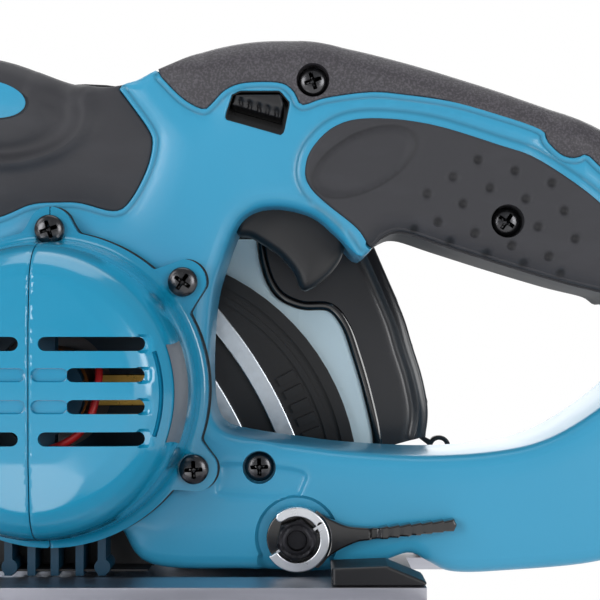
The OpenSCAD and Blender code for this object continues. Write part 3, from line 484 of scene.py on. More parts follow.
def grained(name, colour, rough, scale=1250.0, depth=0.00016):
    """Coarse spark-eroded plastic: small pits and flats of uneven size that glint."""
    f = Finish(name)
    pits = f.cells(scale) * 0.6 + f.noise(scale * 1.7, 3.0) * 0.6
    specks = f.ramp(f.noise(scale * 1.2, 2.0), [(0.46, 0.0), (0.62, 1.0)])
    tone = f.mix(specks, toned(colour, 0.72), toned(colour, 1.4))
    f.set(Base_Color=tone, Roughness=f.noise(scale, 2.0) * 0.22 + (rough - 0.1))
    return f.bump(pits, 0.8, depth).material


def soft(name, colour, rough, pit=None):
    """Soft overmoulding: matt, with a very fine grain, faint scuffs and painted shade in the pits."""
    f = Finish(name)
    scuff = f.ramp(f.noise(45.0, 6.0, (1, 1, 3)), [(0.5, 0.0), (0.75, 1.0)])
    tone = f.mix(scuff, colour, toned(colour, 1.25))
    # Painted shade: the attribute darkens the colour where shade falls in pits and along rims.
    if pit:
        tone = f.mix(f.attribute(pit), tone, toned(colour, 0.3))
    f.set(Base_Color=tone, Roughness=scuff * 0.1 + rough)
    f.shader.inputs["Specular IOR Level"].default_value = 0.35
    return f.bump(f.noise(1500.0, 2.0), 0.4, 0.00006).material


def metal(name, colour, rough, stretch=(1, 1, 1), scale=300.0, depth=0.00002):
    """Metal with fine drawn or cast streaks in gloss and bump."""
    f = Finish(name)
    streak = f.noise(scale, 4.0, stretch)
    f.set(Base_Color=f.mix(streak, toned(colour, 0.86), toned(colour, 1.08)), Metallic=1.0,
          Roughness=streak * 0.18 + (rough - 0.09))
    return f.bump(streak, 0.3, depth).material


# Places in millimetres, as in the CAD source.
MOTOR = np.array([-13.1, 63.5])
MOTOR_BORE = 42.4
FACE = 24.0
COVER_BACK = 24.4
COVER_TOP = 67.1
COVER_R = 47.0
COVER_SCREWS = [(-13.1, 110.8), (26.3, 95.3), (29.6, 39.9), (-55.5, 39.9), (-52.2, 95.3)]
HANDLE_SCREWS = [(64.9, 156.4), (123.4, 113.8), (48.7, 39.7)]
SCREW_R = 4.4
WELL_R = 5.0
LEVER_AT = np.array([60.1, 18.8])
DIAL_AT = np.array([27.0, 131.0])
SLOT_ROWS = [(13.8, 4.6), (5.3, 12.3), (-3.4, 12.3), (-12.2, 4.6)]
SLOT_END = 29.6
SLOT_H = 3.9
GRIP_EDGE = [
    [82.2, 106.3], [86, 109.6], [92, 111], [104.4, 107.1], [123, 101.2], [141.5, 95.7], [154, 92.6],
    [158.4, 90], [160, 96], [158, 110], [150.3, 120.2], [133.1, 132.2], [121.1, 136.7], [100.1, 143],
    [82, 144.8], [71.5, 142.4], [64.6, 135.8], [62.5, 129.2], [64, 124], [69, 119], [77.7, 112],
]
DIMPLES = [
    [114.5, 132.2], [125.6, 128.9], [136.7, 125.3], [107, 127.1], [118.1, 123.8], [128.9, 120.5],
    [140.4, 116.9], [99.2, 122], [110, 119], [132.5, 112.1], [143.7, 108.5], [102.5, 113.6],
    [113.6, 110.3], [124.7, 106.6], [135.8, 103.3], [95.3, 111.5], [106.1, 107.8], [117.2, 104.2],
    [128.3, 101.2], [139.4, 98.2],
]
OPENING_TIP = OPENING[16]
WELL_FLOOR = FACE - 5.2
DIAL_SEAT_R = 9.4
THUMB = (np.array([80.2, 131.6]), 17.0, 8.6, math.radians(27))
ARM_RECESS = [[38.6, 41.6], [36.2, 37], [35.4, 33.6], [38, 31], [58, 30.2], [62.5, 33.5], [61.5, 39.4]]
PAD = (np.array([-30.0, 146.0]), 26.5, 15.0, 0.0)
INSET = (np.array([-32.7, 150.6]), 12.4, 6.2, math.radians(-8))


def oval(points, shape):
    """Ellipse measure of points: 1 on the rim, 0 in the middle."""
    centre, long, short, turn = shape
    return np.hypot(*(turned(points - centre, -turn) / [long, short]).T)


def oval_ring(shape, scale=1.0, count=72):
    """Points of an ellipse, anticlockwise."""
    centre, long, short, turn = shape
    ring = polar(np.linspace(0, 2 * np.pi, count, endpoint=False)) * [scale * long, scale * short]
    return centre + turned(ring, turn)


def sizes():
    return bpy.context.scene.saw_sizes


def colour(name):
    return linear(getattr(bpy.context.scene.saw_colours, name))


def handle_part(first, last, steps=6):
    """The stretch of the handle's outer line between two of its guide points."""
    line = closed_curve(HANDLE, steps)
    i = np.arange(int(first * steps), int(last * steps) + 1) % len(line)
    return line[i]


def grip_ring(step, inset=0.0):
    """Outline of the side grip, moved inwards by inset."""
    ring = anticlockwise(spaced(closed_curve(GRIP_EDGE, 5), step))
    return ring + inset * normals_in(ring)


def housing_ring():
    """Blue body: lower arm, rear end, edges under the top cover and behind the front grip, motor collar."""
    bore = MOTOR + polar(np.radians(np.linspace(223.6, -66.3, 60)), MOTOR_BORE)
    return spaced(np.vstack([
        handle_part(0, 12.6), open_curve(COVER_LOW, 4)[::-1], handle_part(23.1, 23.9),
        open_curve(FRONT_LOW, 4), [[-47, 112]], handle_part(33, 37), bore, handle_part(40, 40.9)]), 1.6)


def edge_sizes(ring, wide, seams, narrow):
    """Edge radius along a ring: narrow where it runs along a seam, wide elsewhere, eased between the two."""
    r = np.full(len(ring), float(wide))
    for seam in seams:
        r = np.where(distance(ring, np.asarray(seam, float), closed=False) < 1.2, narrow, r)
    kernel = np.ones(7) / 7
    return np.minimum(r, np.convolve(np.concatenate([r[-6:], r, r[:6]]), kernel, "same")[6:-6])


def tapered(edge, ring, corners, rate=0.55, least=0.6, wells=()):
    """Edge radius that shrinks towards sharp corners, and keeps its turn clear of screw wells."""
    for c in corners:
        edge = np.minimum(edge, least + rate * from_point(ring, c))
    for c in wells:
        edge = np.minimum(edge, np.maximum(least, from_point(ring, c) - WELL_R - 0.8))
    return edge


def crown(points, ring, reach, fall):
    """How far a face drops near its outline: a square-law fall that starts reach inside the edge."""
    return fall * (1 - np.clip(distance(points, ring) / reach, 0, 1)) ** 2


def offset_rows(line, offsets, closed, step=0.7):
    """Rows of points beside a line at the given distances, on the side its normals point away from."""
    if closed:
        ring = spaced(line, step)
        return np.vstack([ring - d * normals_in(ring) for d in offsets])
    u = np.concatenate([[0], np.cumsum(np.hypot(*np.diff(line, axis=0).T))])
    t = np.arange(0, u[-1], step)
    p = np.column_stack([np.interp(t, u, line[:, k]) for k in (0, 1)])
    d = np.gradient(p, axis=0)
    n = np.column_stack([-d[:, 1], d[:, 0]]) / np.hypot(*d.T)[:, None]
    return np.vstack([p + e * n for e in offsets])


def stepped(p, ring, wide, deep):
    """Sunk floor inside a ring, with a short slope of the given width."""
    return np.where(inside(p, ring), deep * smooth(0.0, wide, distance(p, ring)), 0.0)


def with_well(p, centre, height):
    """A height with the flat floor of a screw well in it."""
    return np.where(from_point(p, centre) < WELL_R - 0.05, WELL_FLOOR, height)


def housing_face(ring, opening, left):
    """Height of the blue face: a crowned plane with grooves beside the black inserts, and on the viewer's
    side a screw well, the shallow recess of the lower arm and the round seat of the clamp lever."""
    grip = grip_ring(1.5)
    cover = open_curve(COVER_LOW, 4)
    front = open_curve(FRONT_LOW, 4)
    recess = closed_curve(ARM_RECESS, 5)
    pocket = grip_ring(1.0, 0.25)

    # The groove mask sinks the face here, and the finish also darkens the blue here as painted shade.
    def groove(p):
        near_grip = bell(distance(p, grip), 2.6, 0.7) * ~inside(p, grip)
        near_seams = [bell(distance(p, seam, False), 1.6, 0.45) for seam in (cover, front)]
        return np.maximum(near_grip, np.maximum(*near_seams))

    def face(p):
        h = FACE - crown(p, ring, 13.0, 1.6) - crown(p, opening, 9.0, 1.2) - 0.35 * groove(p)
        h = np.where(inside(p, pocket), FACE - 6.4, h)
        if not left:
            return np.where(from_point(p, DIAL_AT) < DIAL_SEAT_R - 0.05, FACE - 4.9, h)
        h = h - stepped(p, recess, 1.6, 1.0) - 1.6 * smooth(12.6, 11.8, from_point(p, LEVER_AT))
        return with_well(p, HANDLE_SCREWS[2], h)

    return face, groove


def well_rings(centre, radius):
    """Two close circles that keep the wall of a round well steep."""
    return [circle(centre, radius, 44), circle(centre, radius - 0.12, 44)]


class SAW_OT_housing(bpy.types.Operator):
    """Two blue handle halves: a relief over the outline, turned over at the edges and closed at the seam"""

    bl_idname = "saw.housing"
    bl_label = "Housing halves"

    def execute(self, context):
        ring = housing_ring()
        opening = spaced(closed_curve(OPENING, 5), 1.6)
        cover, front = open_curve(COVER_LOW, 4), open_curve(FRONT_LOW, 4)
        seams = [cover, front, circle(MOTOR, MOTOR_BORE, 160)]
        edge = edge_sizes(ring, sizes().edge_round, seams, 0.6)
        edge = tapered(edge, ring, (COVER_LOW[0], COVER_LOW[-1], FRONT_LOW[0], FRONT_LOW[-1]))
        hole_edge = np.minimum(sizes().edge_round * 0.9, 0.7 + 0.3 * from_point(opening, OPENING_TIP))
        hole_edge = tapered(hole_edge, opening, (), wells=HANDLE_SCREWS[2:])
        skin = moulded("housing_blue", colour("housing"), 0.34, coat=0.15, groove="groove")
        beside = np.array([0.9, 1.25, 1.6, 1.95, 2.3])
        rows = np.vstack([
            offset_rows(grip_ring(0.7), (-0.35, -0.1, 0.6, 1.6, 2.1, 2.6, 3.1, 3.6), True),
            offset_rows(cover, -beside, False), offset_rows(front, beside, False),
            offset_rows(closed_curve(ARM_RECESS, 5), (0.0, -0.5, -1.1, -1.7), True)]
            + [circle(LEVER_AT, r, 90) for r in (11.7, 12.2, 12.7)])
        for left, name in ((True, "housing_left"), (False, "housing_right")):
            face, groove = housing_face(ring, opening, left)
            holes = [opening] + ([spaced(np.array(WINDOW, float), 1.2)] if left else [])
            creases = well_rings(HANDLE_SCREWS[2], WELL_R) if left else well_rings(DIAL_AT, DIAL_SEAT_R)
            verts, faces = relief_mesh(ring, holes, face, 0.0, edge, [hole_edge, 0.5], creases, 1.6,
                                       extra=rows)
            # Painted shade: the groove mask darkens the blue beside the side grips and along the seams.
            dark = groove(verts[:, [0, 2]]) * (verts[:, 1] > 5)
            put_mesh(name + "_skin", *on_side(left, verts, faces), skin, "head", "blue_plastic", [name],
                     attributes={"groove": dark})
        return {"FINISHED"}


class SAW_OT_grips(bpy.types.Operator):
    """Black inserts: the grained top cover, the front handle with its inset, and two dimpled side grips"""

    bl_idname = "saw.grips"
    bl_label = "Grips and covers"

    def execute(self, context):
        self.top_cover()
        self.front_grip()
        self.side_grips()
        return {"FINISHED"}

    def top_cover(self):
        """Crowned roof between the seam and the handle's top line, rolled over a wide edge on top."""
        low = open_curve(COVER_LOW, 4)
        ring = anticlockwise(spaced(np.vstack([low, handle_part(12.6, 23.1)]), 1.4))
        well = HANDLE_SCREWS[0]
        edge = edge_sizes(ring, sizes().cover_round, [low], 0.7)
        edge = tapered(edge, ring, (low[0], low[-1]), wells=[well])

        def roof(p):
            return FACE + 0.3 - crown(p, ring, 14.0, 2.2)

        def screwed(p):
            return with_well(p, well, roof(p))

        near = relief_mesh(ring, [], screwed, 0.0, edge, 0.0, well_rings(well, WELL_R), 1.5, 7)
        far = relief_mesh(ring, [], roof, 0.0, edge, 0.0, (), 1.5, 7)
        skin = grained("cover_grain", colour("top_cover"), 0.5)
        put_mesh("top_cover_skin", *halves(near, far), skin, "head", "grained_black", ["top_cover"])

    def front_grip(self):
        """Soft front handle: thick rolled outline with a raised palm pad, and a blue lens set in the pad."""
        low = open_curve(FRONT_LOW, 4)
        corner = [[-46.5, 112.5], [-40, 112]]
        ring = anticlockwise(spaced(np.vstack([handle_part(23.9, 32), corner, low[::-1]]), 1.4))
        edge = tapered(edge_sizes(ring, sizes().cover_round, [low], 0.8), ring, (low[0], low[-1]))

        def face(p):
            h = FACE + 0.3 - crown(p, ring, 15.0, 2.6)
            m = oval(p, PAD)
            h = h + 1.3 * bell(m, 1.0, 0.1) - 0.8 * smooth(1.0, 1.25, m)
            h = h - 2.0 * bell(m, 0.74, 0.16) * smooth(1.0, 1.5, oval(p, INSET))
            return h - 0.8 * smooth(1.0, 0.93, oval(p, INSET))

        def lens(p):
            return face(INSET[0][None])[0] + 1.5 * (1 - oval(p, INSET) ** 2)

        creases = [oval_ring(INSET), oval_ring(INSET, 0.93)]
        rows = np.vstack([oval_ring(PAD, m, 150) for m in np.arange(0.5, 1.3, 0.05)])
        rows = rows[oval(rows, INSET) > 1.15]
        half = relief_mesh(ring, [], face, 0.0, edge, 0.0, creases, 1.4, 7, rows)
        skin = soft("front_soft", colour("soft"), 0.56)
        put_mesh("front_grip_skin", *halves(half, half), skin, "head", "soft_grip", ["front_grip"])
        skin = moulded("inset_blue", colour("housing"), 0.3, coat=0.2)
        inset = shell_mesh(oval_ring(INSET, 0.9), [], lens, level(FACE - 3.0), (), 1.2)
        for left, name in ((True, "front_inset_left"), (False, "front_inset_right")):
            put_mesh(name, *on_side(left, *inset), skin, "head", "blue_plastic")

    def side_grips(self):
        """Soft panels just proud of the blue: a sunk thumb oval with a rim, and rows of round dimples."""
        ring = grip_ring(1.0)
        dimples = np.array(DIMPLES)
        under = open_curve(GRIP_EDGE[0:9], 6)
        screw = HANDLE_SCREWS[1]
        skin = soft("grip_soft", colour("soft"), 0.58, "pit")
        for left, name in ((True, "grip_left"), (False, "grip_right")):

            def face(p):
                h = FACE + 0.7 - 1.2 * np.clip(1 - nearest(p, dimples) / 1.7, 0, 1) ** 0.5
                out = np.clip(1 - distance(p, under, False) / 8.0, 0, 1)
                h = h - 5.0 * (1 - np.sqrt(1 - 0.97 * out**2))
                m = oval(p, THUMB)
                h = h - 1.3 * smooth(1.0, 0.8, m) + 0.35 * bell(m, 1.06, 0.05)
                return with_well(p, screw, h) if left else h

            rims = [circle(d, r, 20) for d in dimples for r in (1.7, 1.0)]
            rims += [oval_ring(THUMB, 1.0, 90), oval_ring(THUMB, 1.06, 90)]
            rims += well_rings(screw, WELL_R) if left else []
            verts, faces = relief_mesh(ring, [], face, FACE - 6.1, 0.9, 0.0, rims, 1.3, 5)
            plan = verts[:, [0, 2]]
            # Painted shade: darker in the dimples and in a thin line along the thumb oval's rim.
            pit = np.clip(1.6 - nearest(plan, dimples), 0, 1) + 0.5 * bell(oval(plan, THUMB), 0.99, 0.025)
            put_mesh(name + "_skin", *on_side(left, verts, faces), skin, "head", "soft_grip", [name], 50,
                     {"pit": np.minimum(pit, 1)})
        self.wrap(under, skin)

    def wrap(self, under, skin):
        """Soft lining under the handle: a thin strip along the top edge of the hand opening, side to side."""
        strip = np.vstack([offset_rows(under, (0.4,), False), offset_rows(under, (-0.7,), False)[::-1]])
        half = FACE - 4.6
        verts, faces = shell_mesh(spaced(strip, 1.2), [], level(half), level(-half), (), 3.0)
        put_mesh("grip_wrap", left_side(verts), faces, skin, "head", "soft_grip", smooth_deg=50)


# The motor cover: its turned profile as (radius, depth), its ears, pockets, facets and cuts.
DOME = np.array([
    [0, 0], [20, 0.1], [28, 0.6], [33, 1.9], [36, 3.6], [38.8, 6.4], [40.6, 10], [41.8, 14.2], [42.6, 19],
    [43.1, 24.5], [43.5, 30], [43.9, 33.5], [44.6, 35.6], [45.6, 36.5], [46.4, 36.7], [60, 36.7],
])
EAR_R = 7.0
EAR_TOP = 30.4
POCKET_R = 4.8
FACET_AT = 18.5
FACET_SLOPE = 0.13
BLIND_START, BLIND_END = 2.6, 9.0
PLATE = (39.4, 42.4, 20.0)


def cover_rim():
    """Angles and reach of the cover's outline about the motor axis: the disc, or a screw ear where it stands
    out, eased into each other by a running mean."""
    a = np.linspace(-np.pi, np.pi, 1440, endpoint=False)
    r = np.full(len(a), COVER_R)
    for c in COVER_SCREWS:
        d = np.array(c) - MOTOR
        turn, far = a - math.atan2(d[1], d[0]), np.hypot(*d)
        under = EAR_R**2 - (far * np.sin(turn)) ** 2
        reach = far * np.cos(turn) + np.sqrt(np.maximum(under, 0))
        r = np.where((under > 0) & (np.cos(turn) > 0), np.maximum(r, reach), r)
    r = np.convolve(np.concatenate([r[-9:], r, r[:9]]), np.ones(19) / 19, "valid")
    return a, r


def cover_ring(side):
    """Outline of one half of the motor cover, cut at the parting plane."""
    a = np.radians(np.linspace(-90, 90, 600)) + (0 if side > 0 else np.pi)
    ring = MOTOR + polar(a, np.interp(a, *cover_rim(), period=2 * np.pi))
    cut = MOTOR[0] + 0.15 * side
    ring[:, 0] = np.maximum(ring[:, 0], cut) if side > 0 else np.minimum(ring[:, 0], cut)
    return spaced(ring, 0.9)


def slot_ring(start, end, height, half):
    """Rounded slot from start to end along X at a height, relative to the motor axis."""
    cap = polar(np.radians(np.linspace(-90, 90, 13)), half)
    low, high = min(start, end), max(start, end)
    return MOTOR + spaced(np.vstack([[high, height] + cap, [low, height] - cap]), 0.8)


def arc_band(side, low, high, spread):
    """Ring sector about the motor axis, on one side."""
    a = np.radians(np.linspace(-spread, spread, 40))
    return anticlockwise(MOTOR + np.vstack([polar(a, high), polar(a, low)[::-1]]) * [side, 1])


def dome(p):
    """Depth of the round cover below its face: the turned profile, cut by a flat facet above and below."""
    depth = np.interp(from_point(p, MOTOR), DOME[:, 0], DOME[:, 1])
    return np.maximum(depth, FACET_SLOPE * (np.abs(p[:, 1] - MOTOR[1]) - FACET_AT))


class SAW_OT_motor_cover(bpy.types.Operator):
    """Glossy motor end cover in two shells, with vent slots, blind pockets, screw ears and bare arc plates"""

    bl_idname = "saw.motor_cover"
    bl_label = "Motor cover"

    def execute(self, context):
        skin = moulded("cover_gloss", colour("cover"), 0.2, grain=500.0, depth=0.000015, coat=0.6)
        plate = moulded("plate_grey", colour("plate"), 0.4)
        self.gasket()
        for side, name in ((1, "motor_cover_rear"), (-1, "motor_cover_front")):
            verts, faces = self.shell(side)
            put_mesh(name + "_skin", left_side(verts), faces, skin, "head", "cover_blue", [name], 30)
            verts, faces = shell_mesh(arc_band(side, *PLATE), [], lambda p: COVER_TOP - dome(p) + 0.6,
                                      lambda p: COVER_TOP - dome(p) - 0.5, (), 0.9)
            put_mesh(name + "_plate", left_side(verts), faces, plate, "head", "panel_grey")
        return {"FINISHED"}

    def gasket(self):
        """Thin dark ring between the flange and the housing, half a millimetre wider than the flange."""
        # Painted shade: this black ring stands in for the shadow in the gap around the cover.
        a, r = cover_rim()
        ring = spaced(MOTOR + polar(a, r + 0.5), 0.8)
        bore = circle(MOTOR, COVER_R - 2.0, 240)
        verts, faces = shell_mesh(ring, [bore], level(COVER_BACK - 0.05), level(FACE - 2.0), (), 3.0)
        skin = moulded("gasket_black", colour("black"), 0.6)
        put_mesh("cover_gasket", left_side(verts), faces, skin, "head", "black_plastic")

    def shell(self, side):
        """One half: the dome height with its cuts outside, and the same dome a wall lower inside."""
        wall = sizes().cover_wall
        slots = [slot_ring(side * w, side * SLOT_END, z, SLOT_H / 2) for z, w in SLOT_ROWS]
        short_rows = [z for z, w in SLOT_ROWS if w > 10]
        blind, floors = ([slot_ring(side * BLIND_START, side * BLIND_END, z, half) for z in short_rows]
                         for half in (SLOT_H / 2, SLOT_H / 2 - 0.35))
        slit = arc_band(side, 35.4, 36.6, 19.0)
        screws = np.array([c for c in COVER_SCREWS if (c[0] - MOTOR[0]) * side > -1])

        def face(p):
            d = p - MOTOR
            along = side * d[:, 0]
            h = COVER_TOP - dome(p)
            h = h - 0.35 * smooth(0.5, 0.0, np.abs(d[:, 0]) - 0.15)
            for z, _ in SLOT_ROWS:
                run = smooth(3.1, 0.0, along - SLOT_END - 1.2) * (along > SLOT_END)
                h = h - 1.7 * run * (np.abs(d[:, 1] - z) < 1.96)
            for hole in blind:
                h = h - stepped(p, hole, 0.35, 1.5)
            h = h - stepped(p, slit, 0.25, 1.4)
            flange = from_point(p, MOTOR) > COVER_R - 0.02
            return np.where(flange | (nearest(p, screws) < POCKET_R), EAR_TOP, h)

        def back(p):
            rim = (from_point(p, MOTOR) > COVER_R - wall) | (nearest(p, screws) < POCKET_R + 1.4)
            return np.where(rim, COVER_BACK, COVER_TOP - dome(p) - wall)

        creases = blind + floors + [slit, arc_band(side, 35.65, 36.35, 18.7)]
        radii = np.concatenate([
            np.arange(0.6, 30, 0.95), np.arange(30, 43, 0.8), np.arange(43, 44, 0.45),
            [43.3, 43.5, 43.7, 43.9, 44.2, 44.45, 44.55, 44.9, 45.3, 45.7, 46.2, 46.97, 47.03],
            np.arange(47.6, 58, 0.9)])
        grid = [circle(MOTOR, r, max(12, int(2 * np.pi * r / 0.95))) for r in radii]
        pocket = (POCKET_R + 0.06, POCKET_R - 0.06, POCKET_R + 1.34, POCKET_R + 1.46, 3.4, 2.0)
        grid += [circle(c, r, 60) for c in screws for r in pocket]
        seam = np.arange(-46.5, 46.6, 0.8)
        grid += [MOTOR + np.column_stack([np.full(len(seam), x * side), seam]) for x in (0.4, 0.7)]
        return shell_mesh(cover_ring(side), slots, face, back, creases, 0.5, np.vstack(grid))


def lathe(profile, count=48):
    """Closed surface turned about the height axis from (radius, height) points that start and end on it."""
    p = np.asarray(profile, float)
    a = np.linspace(0, 2 * np.pi, count, endpoint=False)
    rows = [p[:, :1] * np.cos(a), np.repeat(p[:, 1:], count, 1), p[:, :1] * np.sin(a)]
    return np.stack(rows, -1).reshape(-1, 3), row_quads(len(p), count)


def tube(path, radius, sides=14):
    """Closed round tube: circles across the path, joined by quads and capped by fans."""
    p = np.asarray(path, float)
    t = np.gradient(p, axis=0)
    t /= np.linalg.norm(t, axis=1)[:, None]
    side = np.cross(t, [0.0, 1.0, 0.001])
    side /= np.linalg.norm(side, axis=1)[:, None]
    up = np.cross(side, t)
    a = np.linspace(0, 2 * np.pi, sides, endpoint=False)
    rings = p[:, None] + radius * (side[:, None] * np.cos(a)[:, None] + up[:, None] * np.sin(a)[:, None])
    n = len(p)
    verts = np.vstack([rings.reshape(-1, 3), p[:1], p[-1:]])
    j = np.arange(sides)
    k = (j + 1) % sides
    low = np.column_stack([k, j, np.full(sides, n * sides)])
    high = np.column_stack([(n - 1) * sides + j, (n - 1) * sides + k, np.full(sides, n * sides + 1)])
    return verts, [f[:, ::-1] for f in (row_quads(n, sides), low, high)]


def screw_mesh(seat, shank_end):
    """Pan-head screw on the height axis: a domed disc with a tapered cross recess, and a plain shank."""
    arm, half, deep = 2.7, 0.62, 1.9
    corner = np.array([[arm, -half], [arm, half], [half, half]])
    cross = spaced(np.vstack([turned(corner, k * np.pi / 2) for k in range(4)]), 0.45)

    def face(p):
        r = np.hypot(*p.T) / SCREW_R
        h = seat + 1.5 + 1.5 * np.sqrt(np.maximum(0, 1 - np.minimum(r, 1) ** 2.6))
        return h - stepped(p, cross, 0.5, deep)

    radii = (0.3, 0.8, 1.3, 1.8, 2.3, 2.8, 3.2, 3.6, 3.9, 4.1, 4.25, 4.34)
    grid = np.vstack([circle((0, 0), r, max(8, int(14 * r))) for r in radii])
    head = shell_mesh(circle((0, 0), SCREW_R, 64), [], face, level(seat), [cross], 0.3, grid)
    profile = [(0, seat), (2.0, seat), (2.0, shank_end + 0.4), (1.6, shank_end), (0, shank_end)]
    shank, quads = lathe(profile, 24)
    return joined(head, (shank, [quads[:, ::-1]]))


class SAW_OT_screws(bpy.types.Operator):
    """Black pan-head screws with cross recesses, each turned to its own angle"""

    bl_idname = "saw.screws"
    bl_label = "Screws"

    def execute(self, context):
        skin = metal("screw_black", colour("screw"), 0.24, scale=900.0)
        for name, places, seat, end in (("cover_screws", COVER_SCREWS, EAR_TOP, 9.0),
                                        ("handle_screws", HANDLE_SCREWS, FACE - 5.0, -13.0)):
            screws = [screw_mesh(seat, end) for _ in places]
            for k, (verts, _) in enumerate(screws):
                verts[:, [0, 2]] = turned(verts[:, [0, 2]], math.radians(18 + 37 * k)) + places[k]
            verts, faces = joined(*screws)
            put_mesh(name + "_heads", left_side(verts), faces, skin, "head", "black_steel", [name], 35)
        return {"FINISHED"}


BEAD = [
    [47.8, 112.0], [48.9, 104.7], [51.3, 97.7], [55.1, 92.9], [62, 90], [71.4, 89.3], [77, 83], [81, 72],
    [84.5, 60], [87.5, 47], [88.3, 40],
]
BEAD_Y = 45.3
SHELL_EDGE = [
    [85.3, 112.2], [89.8, 102.5], [94.5, 91.6], [97.5, 84.0], [99.9, 75.8], [103, 66], [105, 56.4],
    [105.2, 50], [104.3, 44.3],
]
SHELL_Y = 45.95
LEAD = [
    [4.0, -50.0, 73.0], [4.6, -54.0, 67.0], [3.8, -56.0, 60.5], [1.6, -57.0, 54.5], [-3.0, -57.0, 50.0],
    [-12.0, -55.0, 46.5],
]
CAGE_LOW = 8.2


class SAW_OT_trim(bpy.types.Operator):
    """Glossy seal bead, the black shell behind it, dark sheets of painted shade in the vent cage and the
    brush lead
    """

    bl_idname = "saw.trim"
    bl_label = "Bead and brush lead"

    def execute(self, context):
        self.shell_face()
        self.bead()
        self.cage_back()
        self.brush_lead()
        return {"FINISHED"}

    def bead(self):
        """Tube along the bead's line, flattened across the saw."""
        verts, faces = tube(np.insert(open_curve(BEAD, 10), 1, BEAD_Y, 1), 2.0, 20)
        verts[:, 1] = BEAD_Y + 0.6 * (verts[:, 1] - BEAD_Y)
        gloss = moulded("bead_gloss", colour("bead"), 0.08, grain=300.0, depth=0.00001, coat=0.8)
        put_mesh("seal_bead_round", verts, faces, gloss, "case", "gloss_black", ["seal_bead"], 60)

    def brush_lead(self):
        """Tube along the lead's points, their corners rounded by a running mean."""
        p = np.array(LEAD)
        t = np.linspace(0, len(p) - 1, 40)
        path = np.column_stack([np.interp(t, np.arange(len(p)), p[:, k]) for k in range(3)])
        mean = np.ones(7) / 7
        path = np.column_stack([np.convolve(np.pad(c, 3, mode="edge"), mean, "valid") for c in path.T])
        verts, faces = tube(path, 1.1, 12)
        skin = moulded("lead_red", colour("lead"), 0.45)
        put_mesh("brush_lead", verts, faces, skin, "head", "copper", smooth_deg=60)

    def cage_back(self):
        """Painted shade: dark sheets behind the ribs under the motor, a wall with its top along the drum and
        a floor.
        """
        arc = MOTOR + polar(np.radians(np.linspace(-140, -40, 30)), 40.5)
        ring = spaced(np.vstack([arc, [[16.0, CAGE_LOW], [-43.0, CAGE_LOW]]]), 1.5)
        verts, faces = shell_mesh(ring, [], level(10.0), level(8.0), (), 4.0)
        # Painted shade: black sheets where shadow falls behind the cage ribs and on the sole.
        black = moulded("shroud_black", colour("black"), 0.5)
        put_mesh("cage_shroud", left_side(verts), faces, black, "head", "black_plastic")
        ring = spaced(np.array([[-42.0, -21.5], [15.0, -21.5], [15.0, -10.2], [-42.0, -10.2]]), 1.5)
        verts, faces = shell_mesh(ring, [], level(CAGE_LOW + 0.6), level(CAGE_LOW), (), 4.0)
        put_mesh("cage_floor", verts[:, [0, 2, 1]], faces, black, "head", "black_plastic")

    def shell_face(self):
        """Black face between the bead and the rear edge: a low plate with a round ridge inside that edge."""
        bead = open_curve(BEAD, 6)
        rear = open_curve(SHELL_EDGE, 6)
        ring = anticlockwise(spaced(np.vstack([bead[::-1], rear]), 0.9))
        edge = np.where(distance(ring, rear, False) < 0.6, 0.9, 0.25)
        edge = tapered(edge, ring, (rear[0], rear[-1], bead[0]), 0.2, 0.15)

        def face(p):
            d = distance(p, rear, False)
            return 1.6 + 0.75 * bell(d, 3.4, 1.1) - 0.3 * bell(d, 6.2, 0.8)

        beside = np.array([1.9, 2.6, 3.4, 4.2, 4.9, 5.6, 6.2, 6.8, 7.5])
        rows = offset_rows(rear, np.concatenate([beside, -beside]), False)
        verts, faces = relief_mesh(ring, [], face, 0.0, edge, 0.0, (), 1.4, 5, rows)
        skin = moulded("shell_black", colour("shell"), 0.3, grain=600.0, depth=0.00004, coat=0.25)
        put_mesh("rear_shell_face", left_side(verts) + [0, SHELL_Y, 0], faces, skin, "case", "black_plastic")


TRIGGER = [
    [41.5, 111], [43.3, 110.7], [45.5, 110.3], [48.1, 108.9], [50.8, 107.2], [54.2, 104.8], [57.3, 101.5],
    [59.4, 98.5], [60.8, 94.8], [62.3, 93.5], [64.2, 94], [67.3, 95.9], [70.8, 99], [73.6, 102.9],
    [75, 107], [75.2, 110.3], [72, 116], [64, 122.5], [56, 125.4], [50, 126.2], [44, 123.5], [41.6, 119],
    [40.7, 114],
]
LOCK = [[41.6, 152.1], [40.3, 149.2], [55.2, 145], [56.1, 149.5], [55, 152.1]]
LEVER_TOP = [[66, 27], [68, 26], [70.4, 24.7], [75.1, 22.8], [81.3, 22.2]]
LEVER_LOW = [[81.3, 18.5], [78, 18], [73.2, 15.9], [69.9, 13.8], [66, 10.6]]
LEVER_BACK = 24.5
BAR_START, BAR_LENGTH, BAR_TEETH = 84, 23, 7
JAW = (9.7, 6.75, -149.0, 126.0)
NUT_R = 6.45


def jaw_ring():
    """C-shaped ring about the lever's axis: outer and inner arcs with half circles. Known fault: the second
    half circle stands opposite its tip, so a web crosses the hole, mostly hidden by the nut."""
    outer, inner, start, end = JAW
    a = np.radians(np.linspace(start, end, 90))
    half = np.linspace(0, np.pi, 12)

    def cap(angle):
        return polar(np.array([angle]), (outer + inner) / 2) + polar(angle + half, (outer - inner) / 2)

    arcs = [polar(a, outer), cap(a[-1]), polar(a, inner)[::-1], cap(a[0] + np.pi)]
    return LEVER_AT + spaced(np.vstack(arcs), 0.5)


